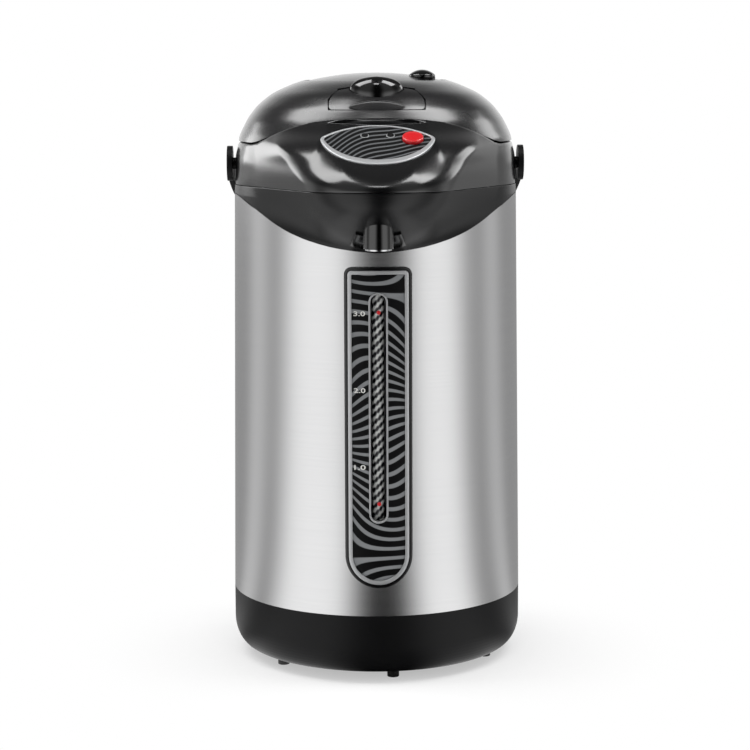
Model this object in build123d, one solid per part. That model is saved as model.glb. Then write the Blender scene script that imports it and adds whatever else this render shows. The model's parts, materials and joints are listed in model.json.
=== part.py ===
from build123d import *
import os
from math import acos, cos, radians, sin, sqrt, tan

# Electric thermo pot. Millimetres. Origin: centre of the circle of feet, on the table.
# +Z up, the spout and control panel face -Y, +X is the viewer's right from the front.

# ---- body of the pot -------------------------------------------------------
BODY_R = 100.0              # radius where the steel meets the base
SEAM_BASE_Z = 46.5          # top of the black base
STEEL_TOP_Z = 321.0         # top of the steel at the sides and rear
TAPER = 0.0301 / 250.0      # loss of radius per mm of height, as a share of BODY_R
STEEL_WALL = 0.8
CUT_Z = STEEL_TOP_Z - 33.5  # the steel's front edge: height at CUT_Y
CUT_Y = 2.0 - BODY_R
CUT_SLOPE = 0.6             # and its rise towards the rear
GAP = 0.4                   # clearance between steel and plastic
MOVE_GAP = 0.5              # clearance round moving parts
EDGE = 0.3                  # small seating clearance

# ---- base and swivel -------------------------------------------------------
BASE_WALL = 3.0
BASE_BOTTOM_Z = 5.5
BASE_BOTTOM_R = BODY_R - 12.0
BASE_CORNER_Z = 24.0
BASE_FLOOR_Z = 8.0
BASE_LIP_TOP = 52.0
BASE_LIP_T = 2.6
FOOT_COUNT = 6
FOOT_R = 4.0
FOOT_CIRCLE_R = BASE_BOTTOM_R - 7.0
FOOT_PHASE = 6.8            # degrees from the front towards +X
FOOT_H = 4.5
SWIVEL_R = BASE_BOTTOM_R - 2.6
SWIVEL_T = 3.0
HUB_R = 12.0
HUB_WALL = 3.0
BEARING_GAP = 0.3
RETAINER_R = 19.0
RETAINER_T = 2.0

# ---- inside the base: board, pump, power inlet -----------------------------
BOARD_Z = 26.0
BOARD_T = 1.6
BOARD_BOX = (12.0, 62.0, -20.0, 40.0)      # x0, x1, y0, y1 of the power board
POST_R = 3.0
PUMP_X = -40.0
PUMP_Y = -20.0
MOTOR_R = 13.0
MOTOR_Z = 14.0
MOTOR_TOP = 44.0
MOTOR_CUP_Z = 28.0
SHAFT_R = 1.5
SHAFT_FIT = 0.05
PUMP_R = 17.0
PUMP_TOP = 62.0
PUMP_WALL = 3.0
IMPELLER_R = 12.4
IMPELLER_LOW = 49.0
IMPELLER_HIGH = 56.0
NIPPLE_R = 6.0
NIPPLE_BORE = 4.5
HOSE_WALL = 2.0
SCREW_R = 1.6
SCREW_CIRCLE_R = 62.0
INLET_HALF_X = 14.0
INLET_HALF_Z = 10.0
INLET_Z = 32.0
INLET_DEPTH_Y = BODY_R - 18.0
INLET_WALL = 2.0

# ---- tank, heater and water path -------------------------------------------
INSULATION = 20.7           # from the steel to the inside of the tank
TANK_R = BODY_R - INSULATION
TANK_WALL = 0.6
TANK_FLOOR_Z = 96.3
TANK_RIM_Z = STEEL_TOP_Z - 3.0
FLANGE_R = TANK_R + 10.7
SEAL_T = 2.0
JACKET_GAP = 0.4
JACKET_T = 3.3
JACKET_R = TANK_R + TANK_WALL + JACKET_GAP + JACKET_T
JACKET_Z = (TANK_FLOOR_Z + 5.7, TANK_RIM_Z - 6.0)
HEATER_R = 32.0
HEATER_T = 5.0
CUTOUT_R = 6.0
CUTOUT_H = 7.0
RISER_R = 4.0               # inside of the riser hose, outside of its nipples
RISER_WALL = 1.2
HOSE_BEND = 7.5
SIGHT_Y = 11.5 - BODY_R
SIGHT_R = 4.0
SIGHT_WALL = 1.0
GAUGE_TOP = CUT_Z - 9.0
SLOT_BOTTOM = TANK_FLOOR_Z + 14.6
SLOT_TOP = GAUGE_TOP - 18.2
SIGHT_Z = (SLOT_BOTTOM - 10.9, SLOT_TOP + 11.7)
FITTING_R = 6.2             # fittings: nipple end, shoulder and far end, from the slot
LOWER_FITTING = (SLOT_BOTTOM - 24.9, SLOT_BOTTOM - 14.9, SLOT_BOTTOM - 0.9)
UPPER_FITTING = (SLOT_TOP + 3.7, SLOT_TOP + 19.7, SLOT_TOP + 29.7)

# ---- spout -----------------------------------------------------------------
SPOUT_Y = -BODY_R - 20.0
SPOUT_R = 9.65
SPOUT_BORE = 7.4
SPOUT_TIP_Z = STEEL_TOP_Z - 29.8
SPOUT_CROWN_Z = STEEL_TOP_Z - 10.0
SPOUT_NECK_Z = STEEL_TOP_Z + 1.0

# ---- head ------------------------------------------------------------------
SEAM_HEAD_Z = STEEL_TOP_Z + 6.04        # seam of the two head shells on the axis
SEAM_HEAD_RISE = 0.0164     # and its rise towards the nose
SHELL_T = 2.4
# sections of the beak: height above the steel, reach of the nose beyond it, nose radius, inset of the body
BEAK_LOW_ROWS = ((-33.5, -1.4, 28.0, 2.4), (-31.0, 1.8, 30.0, 2.5), (-23.0, 14.0, 38.0, 2.7),
                 (-13.0, 29.0, 44.0, 3.0), (-3.0, 43.0, 48.0, 3.5), (8.8, 54.0, 51.0, 4.2))
BEAK_HIGH_ROWS = ((5.4, 53.8, 50.5, 4.2), (14.0, 51.0, 55.0, 4.5), (24.6, 38.5, 64.0, 5.0),
                  (36.5, 21.6, 72.7, 7.2), (44.0, 4.6, 75.0, 10.0), (53.5, -12.8, 80.0, 15.0))
# meridian of the dome: inset from the steel, height above it
DOME_ROWS = ((4.2, 0.0), (3.9, 9.0), (4.0, 17.0), (4.6, 27.0), (6.1, 33.6), (6.9, 38.2), (8.5, 42.3),
             (10.5, 46.4), (12.7, 50.5), (15.6, 54.6), (18.9, 58.7), (23.4, 62.8), (28.8, 66.9),
             (36.8, 71.0), (47.1, 75.1), (56.0, 77.4))
# side view of the lid's seam: distance behind the panel, height above the steel
LID_SEAM_ROWS = ((3.8, 52.5), (9.0, 50.6), (13.7, 48.6), (22.0, 44.0), (30.0, 39.9), (39.0, 36.6),
                 (47.0, 35.3), (290.0, 35.3))
BEAK_LOW = tuple((STEEL_TOP_Z + z, BODY_R + tip, nose, BODY_R - inset)
                 for z, tip, nose, inset in BEAK_LOW_ROWS)
BEAK_HIGH = tuple((STEEL_TOP_Z + z, BODY_R + tip, nose, BODY_R - inset)
                  for z, tip, nose, inset in BEAK_HIGH_ROWS)
DOME = tuple((BODY_R - inset, STEEL_TOP_Z + z) for inset, z in DOME_ROWS)
COLLAR_R = BODY_R - 13.0
COLLAR_T = 2.4
SKIRT_Z = STEEL_TOP_Z - 12.0            # foot of the lower shell's skirt inside the steel
PANEL_Y = 10.0 - BODY_R     # a point of the panel plane, and its slope
PANEL_Z = STEEL_TOP_Z + 47.7
PANEL_TILT = 28.2
LID_SEAM = tuple((PANEL_Y + y, STEEL_TOP_Z + z) for y, z in LID_SEAM_ROWS)
DECK_Z = LID_SEAM[-1][1]    # flat rear part of the lid's seam
HEAD_CUT = (STEEL_TOP_Z - 21.0, STEEL_TOP_Z + 139.0)    # heights that cuts through the head run between

# ---- control panel, in its own plane: x to the right, s down the slope ------
PANEL_TOP_Y = PANEL_Y + 0.3 # where s = 0
LENS_TIP = (37.0, 15.7)
LENS_BOTTOM = 48.3
FACE_TIP = (34.6, 16.0)
FACE_TOP = 1.2
FACE_BOTTOM = 45.3
PANEL_POCKET = 1.0
PANEL_BEZEL_PROUD = 0.9
PANEL_FACE_PROUD = 0.4
LAMP_X = 8.25
LAMP_S = 12.6
LAMP_R = 2.25
LAMP_PROUD = 0.8
DISPENSE_X = 22.4
DISPENSE_S = 16.9
DISPENSE_R = 6.9
DISPENSE_PROUD = 2.4
DISPENSE_GAP = 0.4
BOARD_DEPTH = 9.0
PANEL_BOARD = (32.0, 9.0, 38.0, 1.6)       # half width, first s, last s, thickness
BOARD_SUPPORTS = ((-29.5, 27.0), (29.5, 27.0), (0.0, 14.0), (-12.0, 35.0), (12.0, 35.0))
TACT = (3.0, 1.6)           # half width and height of the switch under the button

# ---- lid -------------------------------------------------------------------
LID_GAP = 0.5
HINGE_Y = BODY_R - 15.5
HINGE_Z = STEEL_TOP_Z + 40.0
KNUCKLE_R = 4.2
HINGE_PIN_R = 1.8
KNUCKLE_IN = 12.4           # |X| where the fixed knuckles start
KNUCKLE_OUT = 26.0
LID_KNUCKLE = 12.0
NOTCH_HALF = 39.5
NOTCH_Y = HINGE_Y - 4.7
WELL_R = 48.6
WELL_WALL = 2.0
LEDGE_R = WELL_R - 7.6
LEDGE_Z = (STEEL_TOP_Z + 41.3, STEEL_TOP_Z + 43.3)
PLUG_R = TANK_R - 8.3
PLUG_WALL = 2.5
PLUG_Z = TANK_RIM_Z + 3.0
PLUG_FLOOR = 2.0
DISC_T = 0.8
DISC_R = PLUG_R - 1.0
GASKET_LIP_R = TANK_R + 1.0
GASKET_Z = TANK_RIM_Z + 0.5
VALVE_R = 5.0
VALVE_X = 45.0

# ---- press plate, lock and bellows -----------------------------------------
PLATE_R = WELL_R - 0.6
PLATE_EDGE_Z = STEEL_TOP_Z + 75.6
PLATE_CROWN = 5.8
PLATE_TOP_Z = PLATE_EDGE_Z + PLATE_CROWN
PLATE_T = 3.0
PLATE_TRAVEL = 14.0
LOCK_RING = (WELL_R - 2.2, WELL_R - 0.4, LEDGE_Z[1] + EDGE, LEDGE_Z[1] + 11.7)     # radii and heights
LOCK_TAB_T = 3.0
SKIRT_FOOT_Z = LOCK_RING[2] + LOCK_TAB_T + PLATE_TRAVEL + MOVE_GAP
PLATE_SKIRT = (WELL_R - 4.6, WELL_R - 2.6, SKIRT_FOOT_Z)    # radii and foot of the guiding skirt
KNOB_AT = (31.6, -16.0)
KNOB_R = 9.0
KNOB_PROUD = 2.1
KNOB_RISE = 3.6
KNOB_TOP_Z = PLATE_TOP_Z + KNOB_PROUD
BELLOWS_R = 34.0
BELLOWS_FOLD = 4.0
BELLOWS_WALL = 1.2
BELLOWS_TOP_Z = PLATE_EDGE_Z - 6.6
BELLOWS_FOLDS = 6
SPRING_R = 22.0
SPRING_WIRE = 1.3
SPRING_TURNS = 5
SPRING_TOP_Z = PLATE_EDGE_Z + 1.0

# ---- release button, flap and latch ----------------------------------------
BUTTON_Y = -WELL_R - 11.9
BUTTON_TIP = (18.0, BUTTON_Y)
BUTTON_FRONT = BUTTON_Y - 11.6
BUTTON_REAR = BUTTON_Y + 9.2
BUTTON_DOME = (20.0, 14.5, 16.0)           # half axes of its domed top
BUTTON_CENTRE = (BUTTON_Y, STEEL_TOP_Z + 63.6)
BUTTON_FOOT_Z = STEEL_TOP_Z + 51.0
BUTTON_TRAVEL = 4.0
BUTTON_WALL = 1.8
BUTTON_HOLLOW = 17.0
BUTTON_CEILING = BUTTON_FOOT_Z + BUTTON_HOLLOW
BOLT_HALF = 8.0
BOLT_Z = (STEEL_TOP_Z + 38.5, STEEL_TOP_Z + 41.0)
BOLT_Y = (0.4 - COLLAR_R, BUTTON_Y + 16.5)
BOLT_GAP = 0.4
BOLT_SLOT_Y = (BUTTON_Y + 8.5, BUTTON_Y + 13.5)
BRIDGE_Z = (BOLT_Z[1] + 3.5, BOLT_Z[1] + 5.0)
BRIDGE_Y = (BUTTON_Y - 5.5, BUTTON_Y + 3.5)
BUTTON_LEG_Y = (BRIDGE_Y[1] + 1.2, BRIDGE_Y[1] + 2.6)
BUTTON_SPRING = (4.5, 0.7, 4, BRIDGE_Z[1])  # radius, wire, turns, foot
FLAP_HALF = 31.5
FLAP_FRONT = PANEL_Y + 8.2
FLAP_SHOULDER = BUTTON_Y - 7.0
FLAP_REAR = (24.0, 18.5, BUTTON_Y + 3.0)
FLAP_CORNER = 8.0
FLAP_T = 2.4
FLAP_PIN = (BUTTON_Y + 2.0, STEEL_TOP_Z + 67.8, 1.0)    # Y, Z and radius
FLAP_ARC = 3.6
FLAP_RELIEF = (2.0, 3.0, 4.0, 5.0, 6.5, 12.0, 16.0, 20.0)  # degrees of lift its edges are eased for
FLAP_LUG = (20.0, 23.0, 2.2)
FLAP_PIN_X = (19.4, 26.6)
TRAY_DEPTH = 8.0
TRAY_T = 1.6
FLAP_GRIP = (17.5, 3.2, 1.9)               # half axes of the finger recess
FLAP_GRIP_AT = (FLAP_FRONT + 2.6, STEEL_TOP_Z + 60.6)

# ---- handle ----------------------------------------------------------------
HANDLE_Z = STEEL_TOP_Z + 20.0
EAR_R = 12.0
BOSS_FACE = BODY_R - 2.5
ARM_FACE = BOSS_FACE + 4.1
BAIL_IN = (BOSS_FACE + 0.4, BODY_R + 24.0)
BAIL_OUT = (ARM_FACE, BAIL_IN[1] + 5.5)
BAIL_WIDTH = 12.0
BAIL_TILT = 33.0
PIVOT_R = 4.0
PIVOT_GAP = 0.3
PIVOT_CAP = (7.0, 1.2)

# ---- sight gauge -----------------------------------------------------------
GAUGE_HALF = 22.2
GAUGE_BOTTOM = SEAM_BASE_Z + 19.7
GAUGE_CORNER = 5.0
FRAME_W = 2.3
BEZEL_W = 2.5
FRAME_PROUD = 2.5
BEZEL_PROUD = 3.0
FACE_PROUD = 1.6
SLOT_HALF = 6.9
WINDOW_PROUD = 1.3
MARK_PROUD = 1.9
LEVELS = (TANK_FLOOR_Z + 50.6, TANK_FLOOR_Z + 101.5, TANK_FLOOR_Z + 151.9)     # 1, 2 and 3 litres
LIMITS = (TANK_FLOOR_Z + 26.1, TANK_FLOOR_Z + 152.6)    # refill and full lines


def steel_r(z):
    """Outer radius of the tapered steel shell at height z."""
    return BODY_R * (1.0 - TAPER * (z - SEAM_BASE_Z))


def lathe(points):
    """Solid of revolution about Z from a closed outline of (radius, height) pairs."""
    outline = Polyline(*[(r, 0.0, z) for r, z in points], close=True)
    return revolve(make_face(outline), Axis.Z)


def tube(r_in, r_out, z0, z1, x=0.0, y=0.0):
    """Upright tube, or a plain cylinder when r_in is zero."""
    height = z1 - z0
    body = Pos(x, y, z0 + height / 2) * Cylinder(r_out, height)
    if r_in > 0:
        body -= Pos(x, y, z0 + height / 2) * Cylinder(r_in, height + 1.0)
    return body


def block(x0, x1, y0, y1, z0, z1):
    """Box between two corners."""
    centre = Pos((x0 + x1) / 2, (y0 + y1) / 2, (z0 + z1) / 2)
    return centre * Box(x1 - x0, y1 - y0, z1 - z0)


def rod_x(radius, x0, x1, y, z):
    """Cylinder lying along X."""
    lying = Pos((x0 + x1) / 2, y, z) * Rot(0, 90, 0)
    return lying * Cylinder(radius, x1 - x0)


def prism_x(points, half):
    """Prism across X from an outline of (y, z) pairs."""
    outline = Polyline(*[(-half, y, z) for y, z in points], close=True)
    return extrude(make_face(outline), 2 * half, dir=(1, 0, 0))


def steel_band(inner, outer, z0, z1):
    """Conical band that follows the steel, from one offset of its surface to another."""
    low, high = steel_r(z0), steel_r(z1)
    return lathe([(low + inner, z0), (low + outer, z0), (high + outer, z1), (high + inner, z1)])


def below_cut(lift):
    """Everything under the sloping front edge of the steel, raised by lift."""
    reach = 220.0
    front = CUT_Z + CUT_SLOPE * (-reach - CUT_Y) + lift
    rear = CUT_Z + CUT_SLOPE * (reach - CUT_Y) + lift
    return prism_x([(-reach, front), (reach, rear), (reach, -reach), (-reach, -reach)], reach)


# ---- base ------------------------------------------------------------------
def base_profile(inset):
    """(radius, height) points of the base's flank, moved inwards by inset."""
    points = []
    steps = 12
    for i in range(steps + 1):
        turn = radians(90.0 * i / steps)
        r = BASE_BOTTOM_R + (BODY_R - BASE_BOTTOM_R) * sin(turn)
        z = BASE_CORNER_Z - (BASE_CORNER_Z - BASE_BOTTOM_Z) * cos(turn)
        points.append((r - inset * (0.35 + 0.65 * sin(turn)), z))
    return points


def base_housing():
    outside = base_profile(0.0)
    outer = lathe([(0, BASE_BOTTOM_Z)] + outside + [(BODY_R, SEAM_BASE_Z), (0, SEAM_BASE_Z)])
    floor_top = BASE_FLOOR_Z + BASE_WALL
    inside = [(r, z) for r, z in base_profile(BASE_WALL * 1.2) if z > floor_top]
    inner_r = BODY_R - BASE_WALL
    hollow = lathe([(0, floor_top), (inside[0][0] - 1.0, floor_top)] + inside
                   + [(inner_r, SEAM_BASE_Z + 1), (0, SEAM_BASE_Z + 1)])
    recess = tube(0, SWIVEL_R + MOVE_GAP, BASE_BOTTOM_Z - 1, BASE_FLOOR_Z)
    hub_hole = tube(0, HUB_R + BEARING_GAP, 0, floor_top + 1)
    lip_r = steel_r(BASE_LIP_TOP) - STEEL_WALL - GAP
    lip = lathe([(lip_r - BASE_LIP_T, SEAM_BASE_Z - 6), (inner_r, SEAM_BASE_Z - 6),
                 (inner_r, SEAM_BASE_Z), (lip_r, SEAM_BASE_Z), (lip_r, BASE_LIP_TOP),
                 (lip_r - BASE_LIP_T, BASE_LIP_TOP)])
    body = outer - hollow - recess - hub_hole + lip
    for x, y in board_posts():
        body += tube(0, POST_R, floor_top, BOARD_Z, x, y)
    body += tube(0, MOTOR_R, floor_top, MOTOR_Z, PUMP_X, PUMP_Y)
    body -= inlet_outline(INLET_HALF_X, INLET_HALF_Z, INLET_DEPTH_Y, BODY_R + 10)
    for x, y in screw_places():
        body -= tube(0, SCREW_R, 0, floor_top + 1, x, y)
    return body


def swivel_plate():
    bottom = FOOT_H
    plate = tube(0, SWIVEL_R, bottom, bottom + SWIVEL_T)
    hub_top = BASE_FLOOR_Z + BASE_WALL + BEARING_GAP
    plate += tube(0, HUB_R, bottom, hub_top)
    plate -= tube(0, HUB_R - HUB_WALL, bottom + SWIVEL_T - 1.5, hub_top + 1)
    groove = tube(SWIVEL_R - 22, SWIVEL_R - 18, bottom - 1, bottom + 1)
    plate -= groove
    return plate


def foot_places():
    step = 360.0 / FOOT_COUNT
    places = []
    for i in range(FOOT_COUNT):
        turn = radians(FOOT_PHASE + i * step)
        places.append((FOOT_CIRCLE_R * sin(turn), -FOOT_CIRCLE_R * cos(turn)))
    return places


def feet():
    """Six rubber pegs under the swivel plate."""
    pads = []
    for x, y in foot_places():
        pads.append(tube(0, FOOT_R, 0, FOOT_H, x, y))
    return Compound(children=pads)


def swivel_retainer():
    """Washer above the floor that keeps the swivel plate in."""
    low = BASE_FLOOR_Z + BASE_WALL + BEARING_GAP
    washer = tube(HUB_R - HUB_WALL - 2, RETAINER_R, low, low + RETAINER_T)
    return washer


# ---- steel and gauge -------------------------------------------------------
def outer_shell():
    shell = steel_band(-STEEL_WALL, 0, SEAM_BASE_Z, STEEL_TOP_Z) & below_cut(0)
    slot = block(-SLOT_HALF, SLOT_HALF, -BODY_R - 10, 20 - BODY_R, SLOT_BOTTOM, SLOT_TOP)
    return shell - slot


def gauge_outline(inset):
    """Prism along Y of the gauge's outline: straight top, round bottom."""
    half = GAUGE_HALF - inset
    top = GAUGE_TOP - inset
    middle = GAUGE_BOTTOM + GAUGE_HALF
    corner = max(GAUGE_CORNER - inset, 0.8)
    upright = Pos(0, 5 - BODY_R, (middle + top) / 2) * Box(2 * half, 40, top - middle)
    upright = fillet(upright.edges().filter_by(Axis.Y).group_by(Axis.Z)[-1], corner)
    round_end = Pos(0, 5 - BODY_R, middle) * Rot(90, 0, 0) * Cylinder(half, 40)
    return upright + round_end


def gauge_ring(outer_inset, inner_inset, proud):
    band = steel_band(0, proud, GAUGE_BOTTOM - 2, GAUGE_TOP + 2)
    ring = band & gauge_outline(outer_inset)
    return ring - gauge_outline(inner_inset)


def gauge_frame():
    return gauge_ring(0, FRAME_W, FRAME_PROUD)


def gauge_bezel():
    return gauge_ring(FRAME_W, FRAME_W + BEZEL_W, BEZEL_PROUD)


def slot_prism(inset):
    return block(-SLOT_HALF + inset, SLOT_HALF - inset, -BODY_R - 10, 20 - BODY_R,
                 SLOT_BOTTOM + inset, SLOT_TOP - inset)


def gauge_face():
    band = steel_band(0, FACE_PROUD, GAUGE_BOTTOM - 2, GAUGE_TOP + 2)
    face = band & gauge_outline(FRAME_W + BEZEL_W)
    return face - slot_prism(0)


def gauge_window():
    band = steel_band(-STEEL_WALL, WINDOW_PROUD, SLOT_BOTTOM - 2, SLOT_TOP + 2)
    return band & slot_prism(0)


def level_marks():
    """Thin raised lines beside the window: one per litre and one per limit."""
    band = steel_band(FACE_PROUD, MARK_PROUD, SLOT_BOTTOM - 2, SLOT_TOP + 2)
    reach = (-BODY_R - 10, 20 - BODY_R)
    bars = []
    for z in LEVELS:
        bars.append(band & block(-SLOT_HALF - 5.0, -SLOT_HALF - 0.5, *reach, z - 0.4, z + 0.4))
    for z in LIMITS:
        bars.append(band & block(SLOT_HALF + 0.5, SLOT_HALF + 7.5, *reach, z - 0.9, z + 0.9))
    return Compound(children=[s for b in bars for s in b.solids()])


# ---- inside the base -------------------------------------------------------
def board_posts():
    x0, x1, y0, y1 = BOARD_BOX
    return [(x, y) for x in (x0 + 5, x1 - 5) for y in (y0 + 5, y1 - 5)]


def screw_places():
    return [(SCREW_CIRCLE_R * cos(radians(a)), SCREW_CIRCLE_R * sin(radians(a))) for a in (75, 195, 315)]


def base_screws():
    """Three screws up through the base floor, heads in the recess above the plate."""
    top = BASE_FLOOR_Z + BASE_WALL
    screws = [tube(0, SCREW_R, BASE_FLOOR_Z + 0.2, top + 5, x, y) for x, y in screw_places()]
    washers = [tube(0, SCREW_R * 2.2, top, top + 2, x, y) for x, y in screw_places()]
    return Compound(children=[s + w for s, w in zip(screws, washers)])


def power_board():
    x0, x1, y0, y1 = BOARD_BOX
    top = BOARD_Z + BOARD_T
    board = block(x0, x1, y0, y1, BOARD_Z, top)
    board += block(x0 + 6, x0 + 26, y0 + 14, y0 + 36, top, top + 12)
    for i in range(3):
        board += tube(0, 4.0, top, top + 10, x1 - 10, y0 + 16 + 12 * i)
    return board


def inlet_outline(half_x, half_z, y0, y1):
    shape = block(-half_x, half_x, y0, y1, INLET_Z - half_z, INLET_Z + half_z)
    return fillet(shape.edges().filter_by(Axis.Y), 3.0)


def inlet_rear():
    """Y of the base's rear face at the height of the power inlet."""
    return sqrt(BODY_R ** 2 - INLET_HALF_X ** 2)


def power_inlet():
    rear = inlet_rear() - 0.5
    body = inlet_outline(INLET_HALF_X, INLET_HALF_Z, INLET_DEPTH_Y, rear)
    cavity = inlet_outline(INLET_HALF_X - INLET_WALL, INLET_HALF_Z - INLET_WALL,
                           INLET_DEPTH_Y + 3.0, rear + 5)
    return body - cavity


def inlet_pins():
    pins = []
    for x in (-6.0, 6.0):
        shaft = Pos(x, INLET_DEPTH_Y + 5, INLET_Z) * Rot(90, 0, 0) * Cylinder(1.8, 4.0)
        pins.append(shaft)
    return Compound(children=pins)


def pump_motor():
    can = tube(0, MOTOR_R, MOTOR_Z, MOTOR_TOP, PUMP_X, PUMP_Y)
    bore = tube(0, SHAFT_R + SHAFT_FIT, MOTOR_CUP_Z, MOTOR_TOP + 1, PUMP_X, PUMP_Y)
    return can - bore


def pump_housing():
    """Pump casing on the motor: a round chamber, an inlet on top and an outlet to the front."""
    x, y = PUMP_X, PUMP_Y
    body = tube(0, PUMP_R, MOTOR_TOP, PUMP_TOP, x, y)
    low, high = MOTOR_TOP + PUMP_WALL, PUMP_TOP - PUMP_WALL
    body += tube(0, NIPPLE_R, PUMP_TOP, PUMP_TOP + 8, x, y)
    outlet = Pos(x, y - PUMP_R - 3, (low + high) / 2) * Rot(90, 0, 0)
    body += outlet * Cylinder(RISER_R, 12)
    body -= tube(0, IMPELLER_R + 1.0, low, high, x, y)
    body -= tube(0, NIPPLE_BORE, high - 1, PUMP_TOP + 9, x, y)
    body -= tube(0, SHAFT_R + SHAFT_FIT, MOTOR_TOP - 1, low + 1, x, y)
    drill = Pos(x, y - PUMP_R - 4, (low + high) / 2) * Rot(90, 0, 0)
    return body - drill * Cylinder(RISER_R - 1.5, 20)


def pump_rotor():
    """Impeller with its shaft: a hub disc with six straight vanes."""
    x, y = PUMP_X, PUMP_Y
    rotor = tube(0, SHAFT_R, MOTOR_CUP_Z + 1, IMPELLER_LOW + 1, x, y)
    rotor += tube(0, IMPELLER_R, IMPELLER_LOW, IMPELLER_LOW + 2, x, y)
    for i in range(6):
        vane = Box(IMPELLER_R - 4.5, 1.4, IMPELLER_HIGH - IMPELLER_LOW - 1)
        spot = Pos(x, y, (IMPELLER_LOW + IMPELLER_HIGH) / 2 + 0.5) * Rot(0, 0, 60 * i)
        rotor += spot * Pos(IMPELLER_R / 2 + 2.0, 0, 0) * vane
    return rotor


# ---- tank ------------------------------------------------------------------
def tank_wall():
    """Drawn steel tank wall with a rolled flange on top."""
    low = TANK_FLOOR_Z - TANK_WALL
    flange_low = TANK_RIM_Z - TANK_WALL
    outer = TANK_R + TANK_WALL
    return lathe([(TANK_R, low), (outer, low), (outer, flange_low), (FLANGE_R, flange_low),
                  (FLANGE_R, TANK_RIM_Z), (TANK_R, TANK_RIM_Z)])


def tank_floor():
    """Tank bottom with the outlet nipple above the pump."""
    low = TANK_FLOOR_Z - TANK_WALL
    floor = tube(0, TANK_R, low, TANK_FLOOR_Z)
    floor += tube(0, NIPPLE_R, low - 11, low, PUMP_X, PUMP_Y)
    return floor - tube(0, NIPPLE_BORE, low - 12, TANK_FLOOR_Z + 1, PUMP_X, PUMP_Y)


def tank_seal_ring():
    return tube(FLANGE_R - 6, FLANGE_R - 1.0, TANK_RIM_Z, TANK_RIM_Z + SEAL_T)


def tank_jacket():
    """Foil-faced felt round the tank, open at the front for the sight tube."""
    inner = TANK_R + TANK_WALL + JACKET_GAP
    jacket = tube(inner, JACKET_R, *JACKET_Z)
    return jacket - block(-10, 10, -JACKET_R - 5, 20 - JACKET_R, JACKET_Z[0] - 1, JACKET_Z[1] + 1)


def heater_plate():
    top = TANK_FLOOR_Z - TANK_WALL
    plate = tube(0, HEATER_R, top - HEATER_T, top)
    for x in (-12.0, 12.0):
        plate += block(x - 1.5, x + 1.5, HEATER_R - 4, HEATER_R + 8, top - HEATER_T, top - HEATER_T + 1)
    return plate


def thermal_cutouts():
    top = TANK_FLOOR_Z - TANK_WALL - HEATER_T
    cans = [tube(0, CUTOUT_R, top - CUTOUT_H, top, x, -10) for x in (-14.0, 14.0)]
    return Compound(children=cans)


def hose(points, start, end, bore, wall):
    """Hose along a smooth path from one tangent to another."""
    path = Spline(*points, tangents=(start, end))
    across = Plane(origin=points[0], z_dir=start)
    ring = across * (Circle(bore + wall) - Circle(bore))
    return sweep(ring, path=path)


def inlet_hose():
    low = PUMP_TOP + 1
    return tube(NIPPLE_R, NIPPLE_R + HOSE_WALL, low, TANK_FLOOR_Z - TANK_WALL - 3, PUMP_X, PUMP_Y)


def riser_hose():
    z = (MOTOR_TOP + PUMP_TOP) / 2
    start_y = PUMP_Y - PUMP_R - 10
    foot, shoulder, top = LOWER_FITTING
    points = [(PUMP_X, start_y, z), (PUMP_X * 0.6, SIGHT_Y + 16.5, z + 5), (0, SIGHT_Y, foot - 1)]
    bend = hose(points, (0, -1, 0), (0, 0, 1), RISER_R, RISER_WALL)
    bend += tube(RISER_R, RISER_R + RISER_WALL, foot - 1, shoulder - 1, 0, SIGHT_Y)
    straight = Pos(PUMP_X, start_y + 3.5, z) * Rot(90, 0, 0)
    return bend + straight * (Cylinder(RISER_R + RISER_WALL, 7) - Cylinder(RISER_R, 8))


def lower_tube_fitting():
    foot, shoulder, top = LOWER_FITTING
    body = tube(0, FITTING_R, shoulder, top, 0, SIGHT_Y)
    body += tube(0, RISER_R, foot, shoulder, 0, SIGHT_Y)
    body -= tube(0, SIGHT_R - SIGHT_WALL, foot - 1, top + 1, 0, SIGHT_Y)
    return body - tube(0, SIGHT_R, SIGHT_Z[0], top + 1, 0, SIGHT_Y)


def sight_tube():
    return tube(SIGHT_R - SIGHT_WALL, SIGHT_R, SIGHT_Z[0], SIGHT_Z[1], 0, SIGHT_Y)


def upper_tube_fitting():
    foot, shoulder, top = UPPER_FITTING
    body = tube(0, FITTING_R, foot, shoulder, 0, SIGHT_Y)
    body += tube(0, RISER_R, shoulder, top, 0, SIGHT_Y)
    body -= tube(0, SIGHT_R - SIGHT_WALL, foot - 1, top + 1, 0, SIGHT_Y)
    return body - tube(0, SIGHT_R, foot - 1, SIGHT_Z[1], 0, SIGHT_Y)


def outlet_hose():
    """From the sight tube up through the neck of the beak and down into the spout."""
    low = UPPER_FITTING[1] + 1
    crest = SPOUT_NECK_Z + 13
    path = FilletPolyline((0, SIGHT_Y, low), (0, SIGHT_Y, low + 18), (0, SIGHT_Y - 15, crest),
                          (0, SPOUT_Y, crest), (0, SPOUT_Y, SPOUT_NECK_Z - 8), radius=HOSE_BEND)
    across = Plane(origin=(0, SIGHT_Y, low), z_dir=(0, 0, 1))
    return sweep(across * (Circle(RISER_R + RISER_WALL) - Circle(RISER_R)), path=path)


def spout_tube():
    """Bright spout: a flared tube with a shoulder and a hose nipple above it."""
    outline = [(SPOUT_BORE, SPOUT_TIP_Z), (SPOUT_R + 0.4, SPOUT_TIP_Z), (SPOUT_R, SPOUT_TIP_Z + 3),
               (SPOUT_R, SPOUT_CROWN_Z), (RISER_R, SPOUT_CROWN_Z + 2.5), (RISER_R, SPOUT_NECK_Z),
               (RISER_R - 1.5, SPOUT_NECK_Z), (RISER_R - 1.5, SPOUT_CROWN_Z - 1),
               (SPOUT_BORE, SPOUT_CROWN_Z - 4)]
    return Pos(0, SPOUT_Y, 0) * lathe(outline)


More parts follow.
